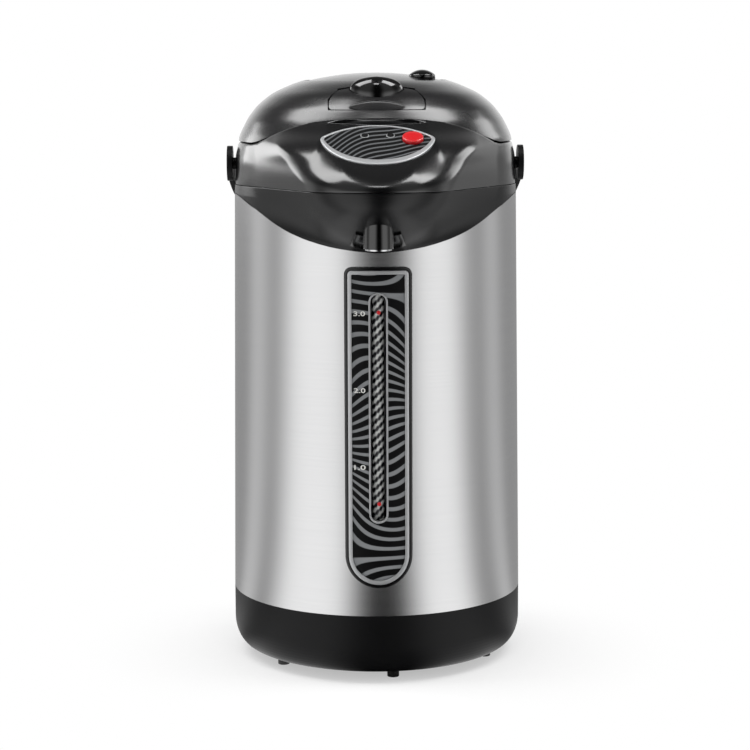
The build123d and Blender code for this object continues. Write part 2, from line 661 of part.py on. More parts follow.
# ---- head shells -----------------------------------------------------------
def hull_section(z, tip, nose_r, body_r):
    """Outline at one height: the hull of the body's circle and a nose circle ahead of it."""
    centre = tip - nose_r
    lean = acos((body_r - nose_r) / centre)
    bx, by = body_r * sin(lean), -body_r * cos(lean)
    nx, ny = nose_r * sin(lean), -centre - nose_r * cos(lean)
    rear = ThreePointArc((bx, by, z), (0, body_r, z), (-bx, by, z))
    left = Line((-bx, by, z), (-nx, ny, z))
    nose = ThreePointArc((-nx, ny, z), (0, -tip, z), (nx, ny, z))
    right = Line((nx, ny, z), (bx, by, z))
    return make_face([rear, left, nose, right])


def beak(sections, inset):
    """Loft through the beak's sections, moved inwards by inset."""
    faces = []
    for z, tip, nose_r, body_r in sections:
        faces.append(hull_section(z, tip - inset, nose_r - inset, body_r - inset))
    return loft(faces)


def below_head_seam(drop):
    """Everything under the seam of the two head shells."""
    reach = 220.0
    front = SEAM_HEAD_Z + SEAM_HEAD_RISE * reach - drop
    rear = SEAM_HEAD_Z - SEAM_HEAD_RISE * reach - drop
    return prism_x([(-reach, front), (reach, rear), (reach, 200), (-reach, 200)], reach)


def below_panel(depth):
    """Everything under the plane of the control panel, moved inwards by depth."""
    tilt = radians(PANEL_TILT)
    drop = depth / cos(tilt)
    reach = 120.0
    high = PANEL_Z + tan(tilt) * reach - drop
    low = PANEL_Z - tan(tilt) * reach - drop
    points = [(PANEL_Y + reach, high), (PANEL_Y - reach, low), (PANEL_Y - reach, 200), (PANEL_Y + reach, 200)]
    return prism_x(points, reach + 50)


def above_lid_seam(lift):
    """Everything above the S-shaped seam of the lid, raised by lift."""
    points = [(y, z + lift) for y, z in LID_SEAM]
    points = [(points[0][0] - 120, points[0][1])] + points
    return prism_x(points + [(points[-1][0], HEAD_CUT[1]), (points[0][0], HEAD_CUT[1])], 150)


def dome_points(inset):
    """The dome's meridian, moved inwards along its normals."""
    moved = []
    last = len(DOME) - 1
    for i, (r, z) in enumerate(DOME):
        r0, z0 = DOME[max(i - 1, 0)]
        r1, z1 = DOME[min(i + 1, last)]
        length = sqrt((r1 - r0) ** 2 + (z1 - z0) ** 2)
        moved.append((r - inset * (z1 - z0) / length, z + inset * (r1 - r0) / length))
    return moved


def dome(inset):
    """Solid dome of the head and lid, cut off flat at its foot."""
    points = dome_points(inset)
    meridian = Spline(*[(r, 0, z) for r, z in points])
    foot = (0, 0, points[0][1])
    top = (0, 0, points[-1][1])
    close = Polyline((points[-1][0], 0, points[-1][1]), top, foot, (points[0][0], 0, points[0][1]))
    return revolve(make_face([meridian] + close.edges()), Axis.Z)


def panel_plane(x=0.0, s=0.0, up=0.0):
    """Place on the control panel: x to the right, s down the slope, up out of it."""
    tilt = radians(PANEL_TILT)
    top_z = PANEL_Z + tan(tilt) * (PANEL_TOP_Y - PANEL_Y)
    y = PANEL_TOP_Y - s * cos(tilt) - up * sin(tilt)
    z = top_z - s * sin(tilt) + up * cos(tilt)
    return Plane(origin=(x, y, z), x_dir=(1, 0, 0), z_dir=(0, -sin(tilt), cos(tilt)))


def panel_lens(tip, top, bottom, low, high):
    """Lens-shaped plate in the plane of the panel between two heights."""
    x, s = tip
    upper = ThreePointArc((-x, -s), (0, -top), (x, -s))
    lower = ThreePointArc((x, -s), (0, -bottom), (-x, -s))
    flat = make_face([upper, lower])
    return extrude(panel_plane(0, 0, low) * flat, high - low)


def panel_post(radius, x, s, low, high):
    """Cylinder standing on the panel between two heights."""
    return panel_plane(x, s, (low + high) / 2) * Cylinder(radius, high - low)


def front_cut(depth):
    """What the plane of the panel takes off the nose, moved inwards by depth."""
    tilt = radians(PANEL_TILT)
    drop = depth / cos(tilt)
    near = LID_SEAM[0][0] - 0.4
    z_near = PANEL_Z + tan(tilt) * (near - PANEL_Y) - drop
    z_far = z_near - tan(tilt) * 120.0
    return prism_x([(near, z_near), (near - 120, z_far), (near - 120, HEAD_CUT[1]), (near, HEAD_CUT[1])], 150)


def head_lower_shell():
    """Bowl of the beak with the skirt that stands inside the steel."""
    shell = beak(BEAK_LOW, 0) - beak(BEAK_LOW, SHELL_T)
    shell -= block(-150, 150, -40, 150, HEAD_CUT[0] - 20, SKIRT_Z)
    low_z = BEAK_LOW[0][0] - 5
    steel = steel_band(-STEEL_WALL - GAP, 40, low_z, STEEL_TOP_Z + EDGE)
    shell -= steel & below_cut(EDGE)
    ledge_top = TANK_RIM_Z - TANK_WALL
    ledge = tube(JACKET_R + GAP, COLLAR_R + 10.0, ledge_top - SHELL_T, ledge_top)
    ledge &= beak(BEAK_LOW, SHELL_T / 2)
    shell += ledge - block(-9, 9, SPOUT_Y - 40, 30 - BODY_R, ledge_top - 10, ledge_top + 10)
    shell &= below_head_seam(0)
    return shell - tube(0, SPOUT_R + EDGE, SPOUT_TIP_Z - 10, SPOUT_NECK_Z + 18, 0, SPOUT_Y)


def spout_escutcheon():
    """Thin trapezoid under the beak, behind and round the spout."""
    near, far, low = SPOUT_Y + 16, SPOUT_Y + 1, CUT_Z - 2.5
    outline = Polyline((-18, near, low), (18, near, low), (14.5, far, low), (-14.5, far, low), close=True)
    plate = extrude(make_face(outline), 45, dir=(0, 0, 1))
    skin = (Pos(0, 0, -1.8) * beak(BEAK_LOW, 0)) - beak(BEAK_LOW, 0)
    plate &= skin
    return plate - tube(0, SPOUT_R + EDGE, SPOUT_TIP_Z - 10, SPOUT_NECK_Z + 18, 0, SPOUT_Y)


def hinge_knuckle(x0, x1, y_face, z_foot, towards):
    """Knuckle along X with a web towards its own piece."""
    knuckle = rod_x(KNUCKLE_R, x0, x1, HINGE_Y, HINGE_Z)
    if towards == "down":
        web = block(x0, x1, HINGE_Y - KNUCKLE_R + 0.6, HINGE_Y + KNUCKLE_R - 0.6, z_foot, HINGE_Z)
    else:
        web = block(x0, x1, y_face, HINGE_Y, z_foot, HINGE_Z + KNUCKLE_R * 0.8)
    return knuckle + web


def head_upper_shell():
    """Upper half of the head: beak, facet for the panel, deck, collar and hinge knuckles."""
    solid = beak(BEAK_HIGH, 0) + dome(0)
    outer = solid - above_lid_seam(0) - front_cut(0) - below_head_seam(0)
    hollow = (beak(BEAK_HIGH, SHELL_T) + dome(SHELL_T)) - above_lid_seam(-SHELL_T) - front_cut(SHELL_T)
    shell = outer - hollow - tube(0, COLLAR_R, *HEAD_CUT)
    foot = TANK_RIM_Z + SEAL_T
    collar = tube(COLLAR_R, COLLAR_R + COLLAR_T, foot, PANEL_Z + 11)
    seam_z = SEAM_HEAD_Z + 2
    shell += (collar & outer) + tube(COLLAR_R, COLLAR_R + COLLAR_T, foot, seam_z + 2)
    shell -= panel_lens(LENS_TIP, 0, LENS_BOTTOM, -PANEL_POCKET, 5)
    for x in (-LAMP_X, LAMP_X):
        shell -= panel_post(LAMP_R, x, LAMP_S, -6, 5)
    shell -= panel_post(DISPENSE_R + DISPENSE_GAP, DISPENSE_X, DISPENSE_S, -6, 5)
    for x, s in BOARD_SUPPORTS:
        shell += panel_post(2.0, x, s, -BOARD_DEPTH, -SHELL_T + 0.2)
    deck_z = DECK_Z - 1.0
    for side in (-1, 1):
        ends = sorted((side * KNUCKLE_IN, side * KNUCKLE_OUT))
        shell += hinge_knuckle(ends[0], ends[1], 0, deck_z, "down")
        ends = sorted((side * (BOSS_FACE - 5), side * BOSS_FACE))
        shell += rod_x(EAR_R, ends[0], ends[1], 0, HANDLE_Z)
    shell -= rod_x(HINGE_PIN_R, -60, 60, HINGE_Y, HINGE_Z)
    shell -= rod_x(PIVOT_R, -ARM_FACE, ARM_FACE, 0, HANDLE_Z)
    window_z = (BOLT_Z[0] - 1.2, BOLT_Z[1] + 1.2)
    shell -= block(-BOLT_HALF - 1, BOLT_HALF + 1, -COLLAR_R - COLLAR_T - 0.5, -COLLAR_R + 2, *window_z)
    return shell


def latch_catch():
    """Steel keeper behind the window in the collar."""
    y = -sqrt((COLLAR_R + COLLAR_T) ** 2 - 12.0 ** 2)
    plate = block(-12, 12, -COLLAR_R - COLLAR_T - 1.2, y + 2, BOLT_Z[0] - 4, BOLT_Z[1] + 2.6)
    plate -= tube(0, COLLAR_R + COLLAR_T, *HEAD_CUT)
    window_z = (BOLT_Z[0] - 1.2, BOLT_Z[1] + 1.2)
    return plate - block(-BOLT_HALF - 1, BOLT_HALF + 1, -BODY_R, 20 - BODY_R, *window_z)


# ---- control panel ---------------------------------------------------------
def panel_bezel():
    ring = panel_lens(LENS_TIP, 0, LENS_BOTTOM, -PANEL_POCKET, PANEL_BEZEL_PROUD)
    return ring - panel_lens(FACE_TIP, FACE_TOP, FACE_BOTTOM, -PANEL_POCKET - 1, PANEL_BEZEL_PROUD + 1)


def panel_face():
    face = panel_lens(FACE_TIP, FACE_TOP, FACE_BOTTOM, -PANEL_POCKET, PANEL_FACE_PROUD)
    for x in (-LAMP_X, LAMP_X):
        face -= panel_post(LAMP_R, x, LAMP_S, -5, 5)
    return face - panel_post(DISPENSE_R + DISPENSE_GAP, DISPENSE_X, DISPENSE_S, -5, 5)


def indicator_lamps():
    lamps = []
    for x in (-LAMP_X, LAMP_X):
        lamps.append(panel_post(LAMP_R, x, LAMP_S, -BOARD_DEPTH, LAMP_PROUD))
    return Compound(children=lamps)


def dispense_button():
    """Red push button with a retaining flange and a stem."""
    x, s = DISPENSE_X, DISPENSE_S
    cap = panel_post(DISPENSE_R, x, s, -SHELL_T - 0.6, DISPENSE_PROUD)
    cap = fillet(cap.edges().sort_by(Axis.Z)[-1], 0.8)
    cap += panel_post(DISPENSE_R + 1.3, x, s, -SHELL_T - 1.8, -SHELL_T - 0.4)
    return cap + panel_post(2.5, x, s, -BOARD_DEPTH + TACT[1] + 1.6, -SHELL_T - 1.0)


def control_board():
    half, s0, s1, thick = PANEL_BOARD
    plate = Box(2 * half, s1 - s0, thick)
    return panel_plane(0, (s0 + s1) / 2, -BOARD_DEPTH - thick / 2) * plate


def tact_switch():
    half, height = TACT
    body = Box(2 * half, 2 * half, height)
    return panel_plane(DISPENSE_X, DISPENSE_S, -BOARD_DEPTH + height / 2) * body


# ---- lid -------------------------------------------------------------------
def sunk_dome(depth):
    """The dome lowered by depth."""
    return Pos(0, 0, -depth) * dome(0)


def notch(grow):
    """Space at the rear of the lid for the hinge, grown by grow."""
    return block(-NOTCH_HALF - grow, NOTCH_HALF + grow, NOTCH_Y - grow, BODY_R + 50, *HEAD_CUT)


def button_lens(grow):
    """Plan outline of the release button, a lens of two arcs, at z = 0."""
    x, y = BUTTON_TIP
    front = ThreePointArc((-x, y), (0, BUTTON_FRONT), (x, y))
    rear = ThreePointArc((x, y), (0, BUTTON_REAR), (-x, y))
    lens = make_face([front, rear])
    return offset(lens, grow, kind=Kind.ARC) if grow else lens


def flap_plan(grow):
    """Plan outline of the grip flap without its bite for the button, at z = 0."""
    half, front, side = FLAP_HALF, FLAP_FRONT, FLAP_SHOULDER
    out, inn, rear = FLAP_REAR
    outline = Polyline((-inn, rear), (-out, rear), (-half, side), (-half, front),
                       (half, front), (half, side), (out, rear), (inn, rear), close=True)
    plan = make_face(outline)
    plan = fillet(plan.vertices().group_by(Axis.Y)[0], FLAP_CORNER)
    return offset(plan, grow, kind=Kind.ARC) if grow else plan


def raised(face, z0, z1):
    return extrude(Pos(0, 0, z0) * face, z1 - z0)


def flap_opening():
    """Hole for the flap through the lid's skin."""
    return raised(flap_plan(MOVE_GAP), *HEAD_CUT) - sunk_dome(TRAY_DEPTH)


def flap_swing(side):
    """Room behind one hinge lug for the flap's rear edge as it turns."""
    pin_y, pin_z, radius = FLAP_PIN
    out, inn, rear = FLAP_REAR
    ends = sorted((side * (inn - 1), side * (out + 1.5)))
    return rod_x(FLAP_ARC + MOVE_GAP, ends[0], ends[1], pin_y, pin_z)


def lid_cover():
    """Domed skin of the lid with the well, the flap's tray and the hinge knuckle."""
    above = above_lid_seam(LID_GAP)
    outer = (dome(0) & above) - notch(0)
    hollow = dome(SHELL_T) - notch(SHELL_T)
    cover = outer - hollow
    cover -= flap_opening()
    low, high = LEDGE_Z
    well = tube(WELL_R, WELL_R + WELL_WALL, low, HEAD_CUT[1]) + tube(LEDGE_R, WELL_R + 1, low, high)
    cover += well & dome(0)
    cover -= tube(0, WELL_R, high, HEAD_CUT[1])
    tray = raised(flap_plan(MOVE_GAP + TRAY_T), DECK_Z + 3.7, HEAD_CUT[1])
    tray &= dome(SHELL_T / 2) - sunk_dome(TRAY_DEPTH + TRAY_T)
    tray -= flap_opening()
    for side in (-1, 1):
        tray -= flap_swing(side)
        cover -= flap_swing(side)
    tray -= raised(button_lens(MOVE_GAP + 0.4), *HEAD_CUT)
    tray -= tube(0, WELL_R + 1, *HEAD_CUT)
    cover += tray & above_lid_seam(LID_GAP + SHELL_T)
    opening = raised(button_lens(MOVE_GAP), BUTTON_FOOT_Z + 8, HEAD_CUT[1])
    cover -= opening - tube(0, WELL_R + WELL_WALL, *HEAD_CUT)
    y_face = NOTCH_Y - 0.5
    knuckle = hinge_knuckle(-LID_KNUCKLE, LID_KNUCKLE, y_face, DECK_Z + LID_GAP, "lid")
    cover += knuckle
    cover -= rod_x(HINGE_PIN_R + SHAFT_FIT, -LID_KNUCKLE - 1, LID_KNUCKLE + 1, HINGE_Y, HINGE_Z)
    pin_y, pin_z, pin_r = FLAP_PIN
    return cover - rod_x(pin_r, -FLAP_PIN_X[1], FLAP_PIN_X[1], pin_y, pin_z)


def lid_inner_cover():
    """Underside of the lid: a band along the seam, the plug into the tank and the bolt's bridge."""
    above = above_lid_seam(LID_GAP)
    band = (above - above_lid_seam(LID_GAP + SHELL_T)) & (dome(SHELL_T) - notch(SHELL_T))
    top = DECK_Z + LID_GAP + SHELL_T
    inner = PLUG_R - PLUG_WALL
    cover = band - tube(0, inner, *HEAD_CUT)
    cover += tube(inner, PLUG_R, PLUG_Z, top)
    cover += tube(0, PLUG_R, PLUG_Z, PLUG_Z + PLUG_FLOOR)
    cover += block(-BOLT_HALF - 2.5, BOLT_HALF + 2.5, -PLUG_R + 1, BRIDGE_Y[1] + 12, top - SHELL_T, top)
    y0, y1 = BRIDGE_Y
    bridge = block(-BOLT_HALF - 2.5, BOLT_HALF + 2.5, y0, y1, top - 1, BRIDGE_Z[1])
    bridge -= block(-BOLT_HALF - BOLT_GAP, BOLT_HALF + BOLT_GAP, y0 - 1, y1 + 1, top - 2, BRIDGE_Z[0])
    cover += bridge
    channel = BOLT_HALF + BOLT_GAP
    cover -= block(-channel, channel, SPOUT_Y, y1, BOLT_Z[0] - EDGE, BOLT_Z[1] + BOLT_GAP)
    cover -= raised(button_lens(MOVE_GAP + 0.4), BUTTON_FOOT_Z - BUTTON_TRAVEL - MOVE_GAP, HEAD_CUT[1])
    return cover - tube(0, VALVE_R, PLUG_Z - 20, PLUG_Z + 20, VALVE_X, 0)


def lid_steel_disc():
    disc = tube(0, DISC_R, PLUG_Z - DISC_T, PLUG_Z)
    return disc - tube(0, VALVE_R, PLUG_Z - 20, PLUG_Z + 20, VALVE_X, 0)


def lid_gasket():
    """Silicone ring on the plug with a lip over the rim of the tank."""
    return lathe([(PLUG_R, GASKET_Z), (GASKET_LIP_R, GASKET_Z), (GASKET_LIP_R, GASKET_Z + 1.2),
                  (PLUG_R + 3, GASKET_Z + 4), (PLUG_R + 3, GASKET_Z + 9), (PLUG_R, GASKET_Z + 9)])


def air_valve():
    """Float valve through the plug's floor."""
    top = PLUG_Z + PLUG_FLOOR
    valve = tube(0, VALVE_R, PLUG_Z - DISC_T - 2, top + 5, VALVE_X, 0)
    valve += tube(0, VALVE_R + 2, top, top + 2, VALVE_X, 0)
    return valve - tube(0, VALVE_R - 3, PLUG_Z - DISC_T - 3, top + 3, VALVE_X, 0)


def lid_hinge_pin():
    return rod_x(HINGE_PIN_R, -KNUCKLE_OUT, KNUCKLE_OUT, HINGE_Y, HINGE_Z)


# ---- press plate, lock ring and bellows ------------------------------------
def plate_dome(drop):
    """Solid under the domed top of the plate, lowered by drop."""
    edge, top = PLATE_EDGE_Z - drop, PLATE_TOP_Z - drop
    arc = ThreePointArc((-PLATE_R, 0, edge), (0, 0, top), (PLATE_R, 0, edge)).trim(0.5, 1.0)
    foot = PLATE_EDGE_Z - PLATE_T - drop
    close = Polyline((PLATE_R, 0, edge), (PLATE_R, 0, foot), (0, 0, foot), (0, 0, top))
    return revolve(make_face([arc] + close.edges()), Axis.Z)


def press_plate():
    """Domed push plate with a guiding skirt and a ring for the bellows."""
    inner, outer, foot = PLATE_SKIRT
    plate = plate_dome(0) - (plate_dome(PLATE_T) & tube(0, inner - 1, *HEAD_CUT))
    plate += tube(inner, outer, foot, PLATE_EDGE_Z - PLATE_T + 0.5)
    return plate + tube(BELLOWS_R - 6, BELLOWS_R, BELLOWS_TOP_Z, PLATE_EDGE_Z + 1.2)


def lock_knob():
    """Domed lock knob standing on the plate."""
    x, y = KNOB_AT
    foot = PLATE_EDGE_Z
    ball_r = (KNOB_R ** 2 + KNOB_RISE ** 2) / (2 * KNOB_RISE)
    ball = Pos(x, y, KNOB_TOP_Z - ball_r) * Sphere(ball_r)
    stem = tube(0, KNOB_R + 1, foot, KNOB_TOP_Z - KNOB_RISE, x, y)
    knob = tube(0, KNOB_R, foot, KNOB_TOP_Z + 1, x, y) & (ball + stem)
    return knob - plate_dome(0)


def lock_ring():
    inner, outer, low, high = LOCK_RING
    ring = tube(inner, outer, low, high)
    for i in range(3):
        spot = Pos(0, 0, low + LOCK_TAB_T / 2) * Rot(0, 0, 90 + 120 * i)
        ring += spot * Pos(inner - 1.5, 0, 0) * Box(4, 10, LOCK_TAB_T)
    return ring


def pump_bellows():
    """Corrugated bellows between the plug's floor and the press plate."""
    low = PLUG_Z + PLUG_FLOOR
    pitch = (BELLOWS_TOP_Z - low) / (2 * BELLOWS_FOLDS)
    outer = []
    for i in range(2 * BELLOWS_FOLDS + 1):
        fold = BELLOWS_FOLD if i % 2 else 0.0
        outer.append((BELLOWS_R - BELLOWS_FOLD + fold, low + i * pitch))
    inner = [(r - BELLOWS_WALL, z) for r, z in reversed(outer)]
    return lathe(outer + inner)


def coil(radius, wire, turns, low, high, x=0.0, y=0.0):
    """Coil spring of round wire between two heights."""
    height = high - low - 2 * wire
    path = Helix(pitch=height / turns, height=height, radius=radius)
    across = Plane(origin=path @ 0, z_dir=path % 0)
    return Pos(x, y, low + wire) * sweep(across * Circle(wire), path=path)


def bellows_spring():
    low = PLUG_Z + PLUG_FLOOR
    return coil(SPRING_R, SPRING_WIRE, SPRING_TURNS, low, SPRING_TOP_Z)


# ---- release button, bolt and flap -----------------------------------------
def release_button():
    """Lens-shaped release button with a domed top, hollow below, and its cam leg."""
    y0, z0 = BUTTON_CENTRE
    body = raised(button_lens(0), BUTTON_FOOT_Z, HEAD_CUT[1])
    crown = Pos(0, y0, z0) * scale(Sphere(1), by=BUTTON_DOME)
    body &= crown + block(-30, 30, y0 - 30, y0 + 30, HEAD_CUT[0], z0)
    body -= raised(button_lens(-BUTTON_WALL), BUTTON_FOOT_Z - 1, BUTTON_CEILING)
    return body + block(-3, 3, *BUTTON_LEG_Y, BRIDGE_Z[1] - 0.4, BUTTON_CEILING + 0.5)


def release_spring():
    radius, wire, turns, low = BUTTON_SPRING
    return coil(radius, wire, turns, low, BUTTON_CEILING - 0.1, 0, (BRIDGE_Y[0] + BRIDGE_Y[1]) / 2)


def latch_bolt():
    y0, y1 = BOLT_Y
    bolt = block(-BOLT_HALF, BOLT_HALF, y0, y1, *BOLT_Z)
    bolt -= block(-3.5, 3.5, *BOLT_SLOT_Y, BOLT_Z[0] - 1, BOLT_Z[1] + 1)
    nose = bolt.edges().filter_by(Axis.X).group_by(Axis.Y)[0].sort_by(Axis.Z)[0]
    return chamfer(nose, 1.5)


def flap_rim():
    """Lid round the flap's opening, with a little less clearance than the real one."""
    tight = MOVE_GAP - EDGE
    rim = Pos(0, 0, tight) * dome(0) - raised(flap_plan(tight), *HEAD_CUT)
    rim &= block(-40, 40, FLAP_FRONT - 6, FLAP_REAR[2] + 6, FLAP_PIN[1] - 25, FLAP_PIN[1] + 6)
    return rim - flap_swing(-1) - flap_swing(1)


def grip_flap():
    """Grip flap: the piece of the dome in front of the button, with two hinge lugs."""
    pin_y, pin_z, pin_r = FLAP_PIN
    out, inn, rear = FLAP_REAR
    plan = raised(flap_plan(0), DECK_Z + 3.7, HEAD_CUT[1]) - raised(button_lens(MOVE_GAP + 0.25), *HEAD_CUT)
    flap = plan & (dome(0) - dome(FLAP_T))
    swing = block(-40, 40, pin_y, pin_y + 20, *HEAD_CUT) - rod_x(FLAP_ARC, -40, 40, pin_y, pin_z)
    flap -= swing
    for side in (-1, 1):
        ends = sorted((side * FLAP_LUG[0], side * FLAP_LUG[1]))
        lug = rod_x(FLAP_LUG[2], ends[0], ends[1], pin_y, pin_z)
        lug += block(ends[0], ends[1], pin_y - 2.0, pin_y + 1.6, pin_z, pin_z + 3.0)
        flap += lug & dome(0.4)
    rim = flap_rim()
    for turn in FLAP_RELIEF:
        flap -= Pos(0, pin_y, pin_z) * Rot(turn, 0, 0) * Pos(0, -pin_y, -pin_z) * rim
    dent = Pos(0, *FLAP_GRIP_AT) * scale(Sphere(1), by=FLAP_GRIP)
    flap -= dent
    return flap - rod_x(pin_r + SHAFT_FIT, -30, 30, pin_y, pin_z)


def flap_pins():
    pin_y, pin_z, pin_r = FLAP_PIN
    near, far = FLAP_PIN_X
    return Compound(children=[rod_x(pin_r, near, far, pin_y, pin_z), rod_x(pin_r, -far, -near, pin_y, pin_z)])


# ---- handle ----------------------------------------------------------------
def handle_bail():
    """Carrying bail: an elliptical strip with a round ear at each end, hanging at the rear."""
    outer = Pos(0, 0) * Ellipse(*BAIL_OUT) - Ellipse(*BAIL_IN)
    outer &= Pos(0, 100) * Rectangle(300, 200)
    strip = extrude(outer, BAIL_WIDTH / 2, both=True)
    strip = Pos(0, 0, HANDLE_Z) * Rot(-BAIL_TILT, 0, 0) * strip
    for side in (-1, 1):
        ends = sorted((side * (BAIL_IN[0] - 0.1), side * ARM_FACE))
        strip += rod_x(EAR_R, ends[0], ends[1], 0, HANDLE_Z)
    strip -= rod_x(PIVOT_R + SHAFT_FIT, -ARM_FACE - 5, ARM_FACE + 5, 0, HANDLE_Z)
    strip -= rod_x(EAR_R + 0.8, -BAIL_IN[0] + 0.1, BAIL_IN[0] - 0.1, 0, HANDLE_Z)
    depth = PIVOT_CAP[1] + EDGE
    for side in (-1, 1):
        ends = sorted((side * (ARM_FACE - depth), side * (ARM_FACE + 2)))
        strip -= rod_x(PIVOT_CAP[0] + EDGE, ends[0], ends[1], 0, HANDLE_Z)
    return strip


def handle_pivots():
    """Headed pins that carry the bail."""
    pins = []
    for side in (-1, 1):
        ends = sorted((side * (BOSS_FACE - 5.5), side * (ARM_FACE - 0.5)))
        pin = rod_x(PIVOT_R, ends[0], ends[1], 0, HANDLE_Z)
        ends = sorted((side * (ARM_FACE - PIVOT_CAP[1]), side * ARM_FACE))
        pins.append(pin + rod_x(PIVOT_CAP[0], ends[0], ends[1], 0, HANDLE_Z))
    return Compound(children=pins)


# ---- every sub-component, one file each ------------------------------------
NODES = (
    base_housing, base_screws, swivel_plate, feet, swivel_retainer, power_board, power_inlet,
    inlet_pins, pump_motor, pump_housing, pump_rotor, outer_shell, gauge_frame, gauge_bezel,
    gauge_face, gauge_window, level_marks, tank_wall, tank_floor, tank_seal_ring, tank_jacket,
    heater_plate, thermal_cutouts, inlet_hose, riser_hose, lower_tube_fitting, sight_tube,
    upper_tube_fitting, outlet_hose, spout_tube, spout_escutcheon, head_lower_shell,
    head_upper_shell, latch_catch, panel_bezel, panel_face, indicator_lamps, dispense_button,
    control_board, tact_switch, lid_cover, lid_inner_cover, lid_steel_disc, lid_gasket,
    air_valve, lid_hinge_pin, press_plate, lock_knob, lock_ring, pump_bellows, bellows_spring,
    release_button, release_spring, latch_bolt, grip_flap, flap_pins, handle_bail, handle_pivots,
)


def main():
    os.makedirs("parts", exist_ok=True)
    for make in NODES:
        export_step(make(), "parts/" + make.__name__ + ".step")


main()
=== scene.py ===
import json
import math

import bmesh
import bpy
import numpy as np
from mathutils import Euler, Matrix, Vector


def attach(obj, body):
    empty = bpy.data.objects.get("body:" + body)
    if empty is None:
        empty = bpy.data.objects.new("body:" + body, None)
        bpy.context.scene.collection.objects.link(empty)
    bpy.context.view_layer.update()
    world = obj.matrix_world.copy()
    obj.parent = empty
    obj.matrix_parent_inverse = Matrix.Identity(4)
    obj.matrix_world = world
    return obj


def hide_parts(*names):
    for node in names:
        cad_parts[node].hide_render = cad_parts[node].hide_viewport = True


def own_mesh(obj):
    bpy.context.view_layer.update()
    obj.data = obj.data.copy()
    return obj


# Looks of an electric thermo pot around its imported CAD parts. Metres, row frame:
# origin on the table at the centre of the feet, +Z up, spout towards -Y.
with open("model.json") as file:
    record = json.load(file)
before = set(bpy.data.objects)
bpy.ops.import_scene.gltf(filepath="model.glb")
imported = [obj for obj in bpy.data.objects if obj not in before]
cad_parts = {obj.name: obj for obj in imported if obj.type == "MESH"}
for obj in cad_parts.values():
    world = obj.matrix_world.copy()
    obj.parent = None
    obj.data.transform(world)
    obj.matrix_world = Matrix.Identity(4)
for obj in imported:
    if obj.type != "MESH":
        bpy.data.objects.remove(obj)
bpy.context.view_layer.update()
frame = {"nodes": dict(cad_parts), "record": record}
NODES = frame["nodes"]
MM = 0.001

# ---- sizes in millimetres ----
BODY_R, SEAM_BASE_Z, STEEL_TOP_Z = 100.0, 46.5, 321.0
TAPER = 0.0301 / 250.0
STEEL_WALL = 0.8
# Where the steel's front edge slopes down under the beak: a point on it and its slope.
CUT_Z, CUT_Y, CUT_SLOPE = 287.5, -98.0, 0.6
# Seam between the two halves of the head, and half of its gap.
SEAM_HEAD_Z, SEAM_HEAD_RISE, SEAM_HALF = 327.04, 0.0164, 0.12
PANEL_Y, PANEL_Z, PANEL_TILT = -90.0, 368.7, math.radians(28.2)
PANEL_TOP_Y = -89.7
# The panel's facet ends at FACET_Y. Inside LEDGE_R its plane climbs over LEDGE_RUN to the lid's
# seam, and at COLLAR_R the collar under the lid drops by COLLAR_DROP.
FACET_Y, COLLAR_R, COLLAR_DROP, LEDGE_R, LEDGE_RUN = -86.6, 87.0, 9.0, 89.4, 2.3
LID_GAP = 0.5
SPOUT_Y = -120.0
# Half width, bottom, top and corner radius of the sight gauge and of its window, and the slot
# in the steel behind them.
GAUGE_SIZE = (22.2, 66.2, 278.5, 5.0)
WINDOW_SIZE = (6.3, 109.4, 261.8, 6.2)
SLOT_HALF, SLOT_LOW, SLOT_TOP = 6.9, 110.9, 260.3
GAUGE_RIM = 4.7
# Sections of the beak: height, reach of its tip, radius of its nose, radius of the body.
BEAK_LOW = ((287.5, 98.6, 28.0, 97.6), (290.0, 101.8, 30.0, 97.5), (298.0, 114.0, 38.0, 97.3),
            (308.0, 129.0, 44.0, 97.0), (318.0, 143.0, 48.0, 96.5), (329.8, 154.0, 51.0, 95.8))
BEAK_HIGH = ((326.4, 153.8, 50.5, 95.8), (335.0, 151.0, 55.0, 95.5), (345.6, 138.5, 64.0, 95.0),
             (357.5, 121.6, 72.7, 92.8), (365.0, 104.6, 75.0, 90.0), (374.5, 87.2, 80.0, 85.0))
# Meridian of the dome as (radius, height), and the lid's seam as (y, height).
DOME = ((95.8, 321.0), (96.1, 330.0), (96.0, 338.0), (95.4, 348.0), (93.9, 354.6), (93.1, 359.2),
        (91.5, 363.3), (89.5, 367.4), (87.3, 371.5), (84.4, 375.6), (81.1, 379.7), (76.6, 383.8),
        (71.2, 387.9), (63.2, 392.0), (52.9, 396.1), (44.0, 398.4))
LID_SEAM = ((-86.2, 373.5), (-81.0, 371.6), (-76.3, 369.6), (-68.0, 365.0), (-60.0, 360.9),
            (-51.0, 357.6), (-43.0, 356.3))


# ---- curves and meshes ----
def natural_spline(knots, values, at):
    """Natural cubic spline: piecewise cubics with matching slope and bend at each knot."""
    x, y = np.asarray(knots, float), np.asarray(values, float)
    h, n = np.diff(x), len(x)
    a, b = np.eye(n), np.zeros(n)
    for i in range(1, n - 1):
        a[i, i - 1:i + 2] = h[i - 1], 2 * (h[i - 1] + h[i]), h[i]
        b[i] = 6 * ((y[i + 1] - y[i]) / h[i] - (y[i] - y[i - 1]) / h[i - 1])
    m = np.linalg.solve(a, b)
    t = np.clip(np.asarray(at, float), x[0], x[-1])
    k = np.clip(np.searchsorted(x, t) - 1, 0, n - 2)
    u, v = x[k + 1] - t, t - x[k]
    hk = h[k]
    return (m[k] * u ** 3 + m[k + 1] * v ** 3) / (6 * hk) \
        + (y[k] / hk - m[k] * hk / 6) * u + (y[k + 1] / hk - m[k + 1] * hk / 6) * v


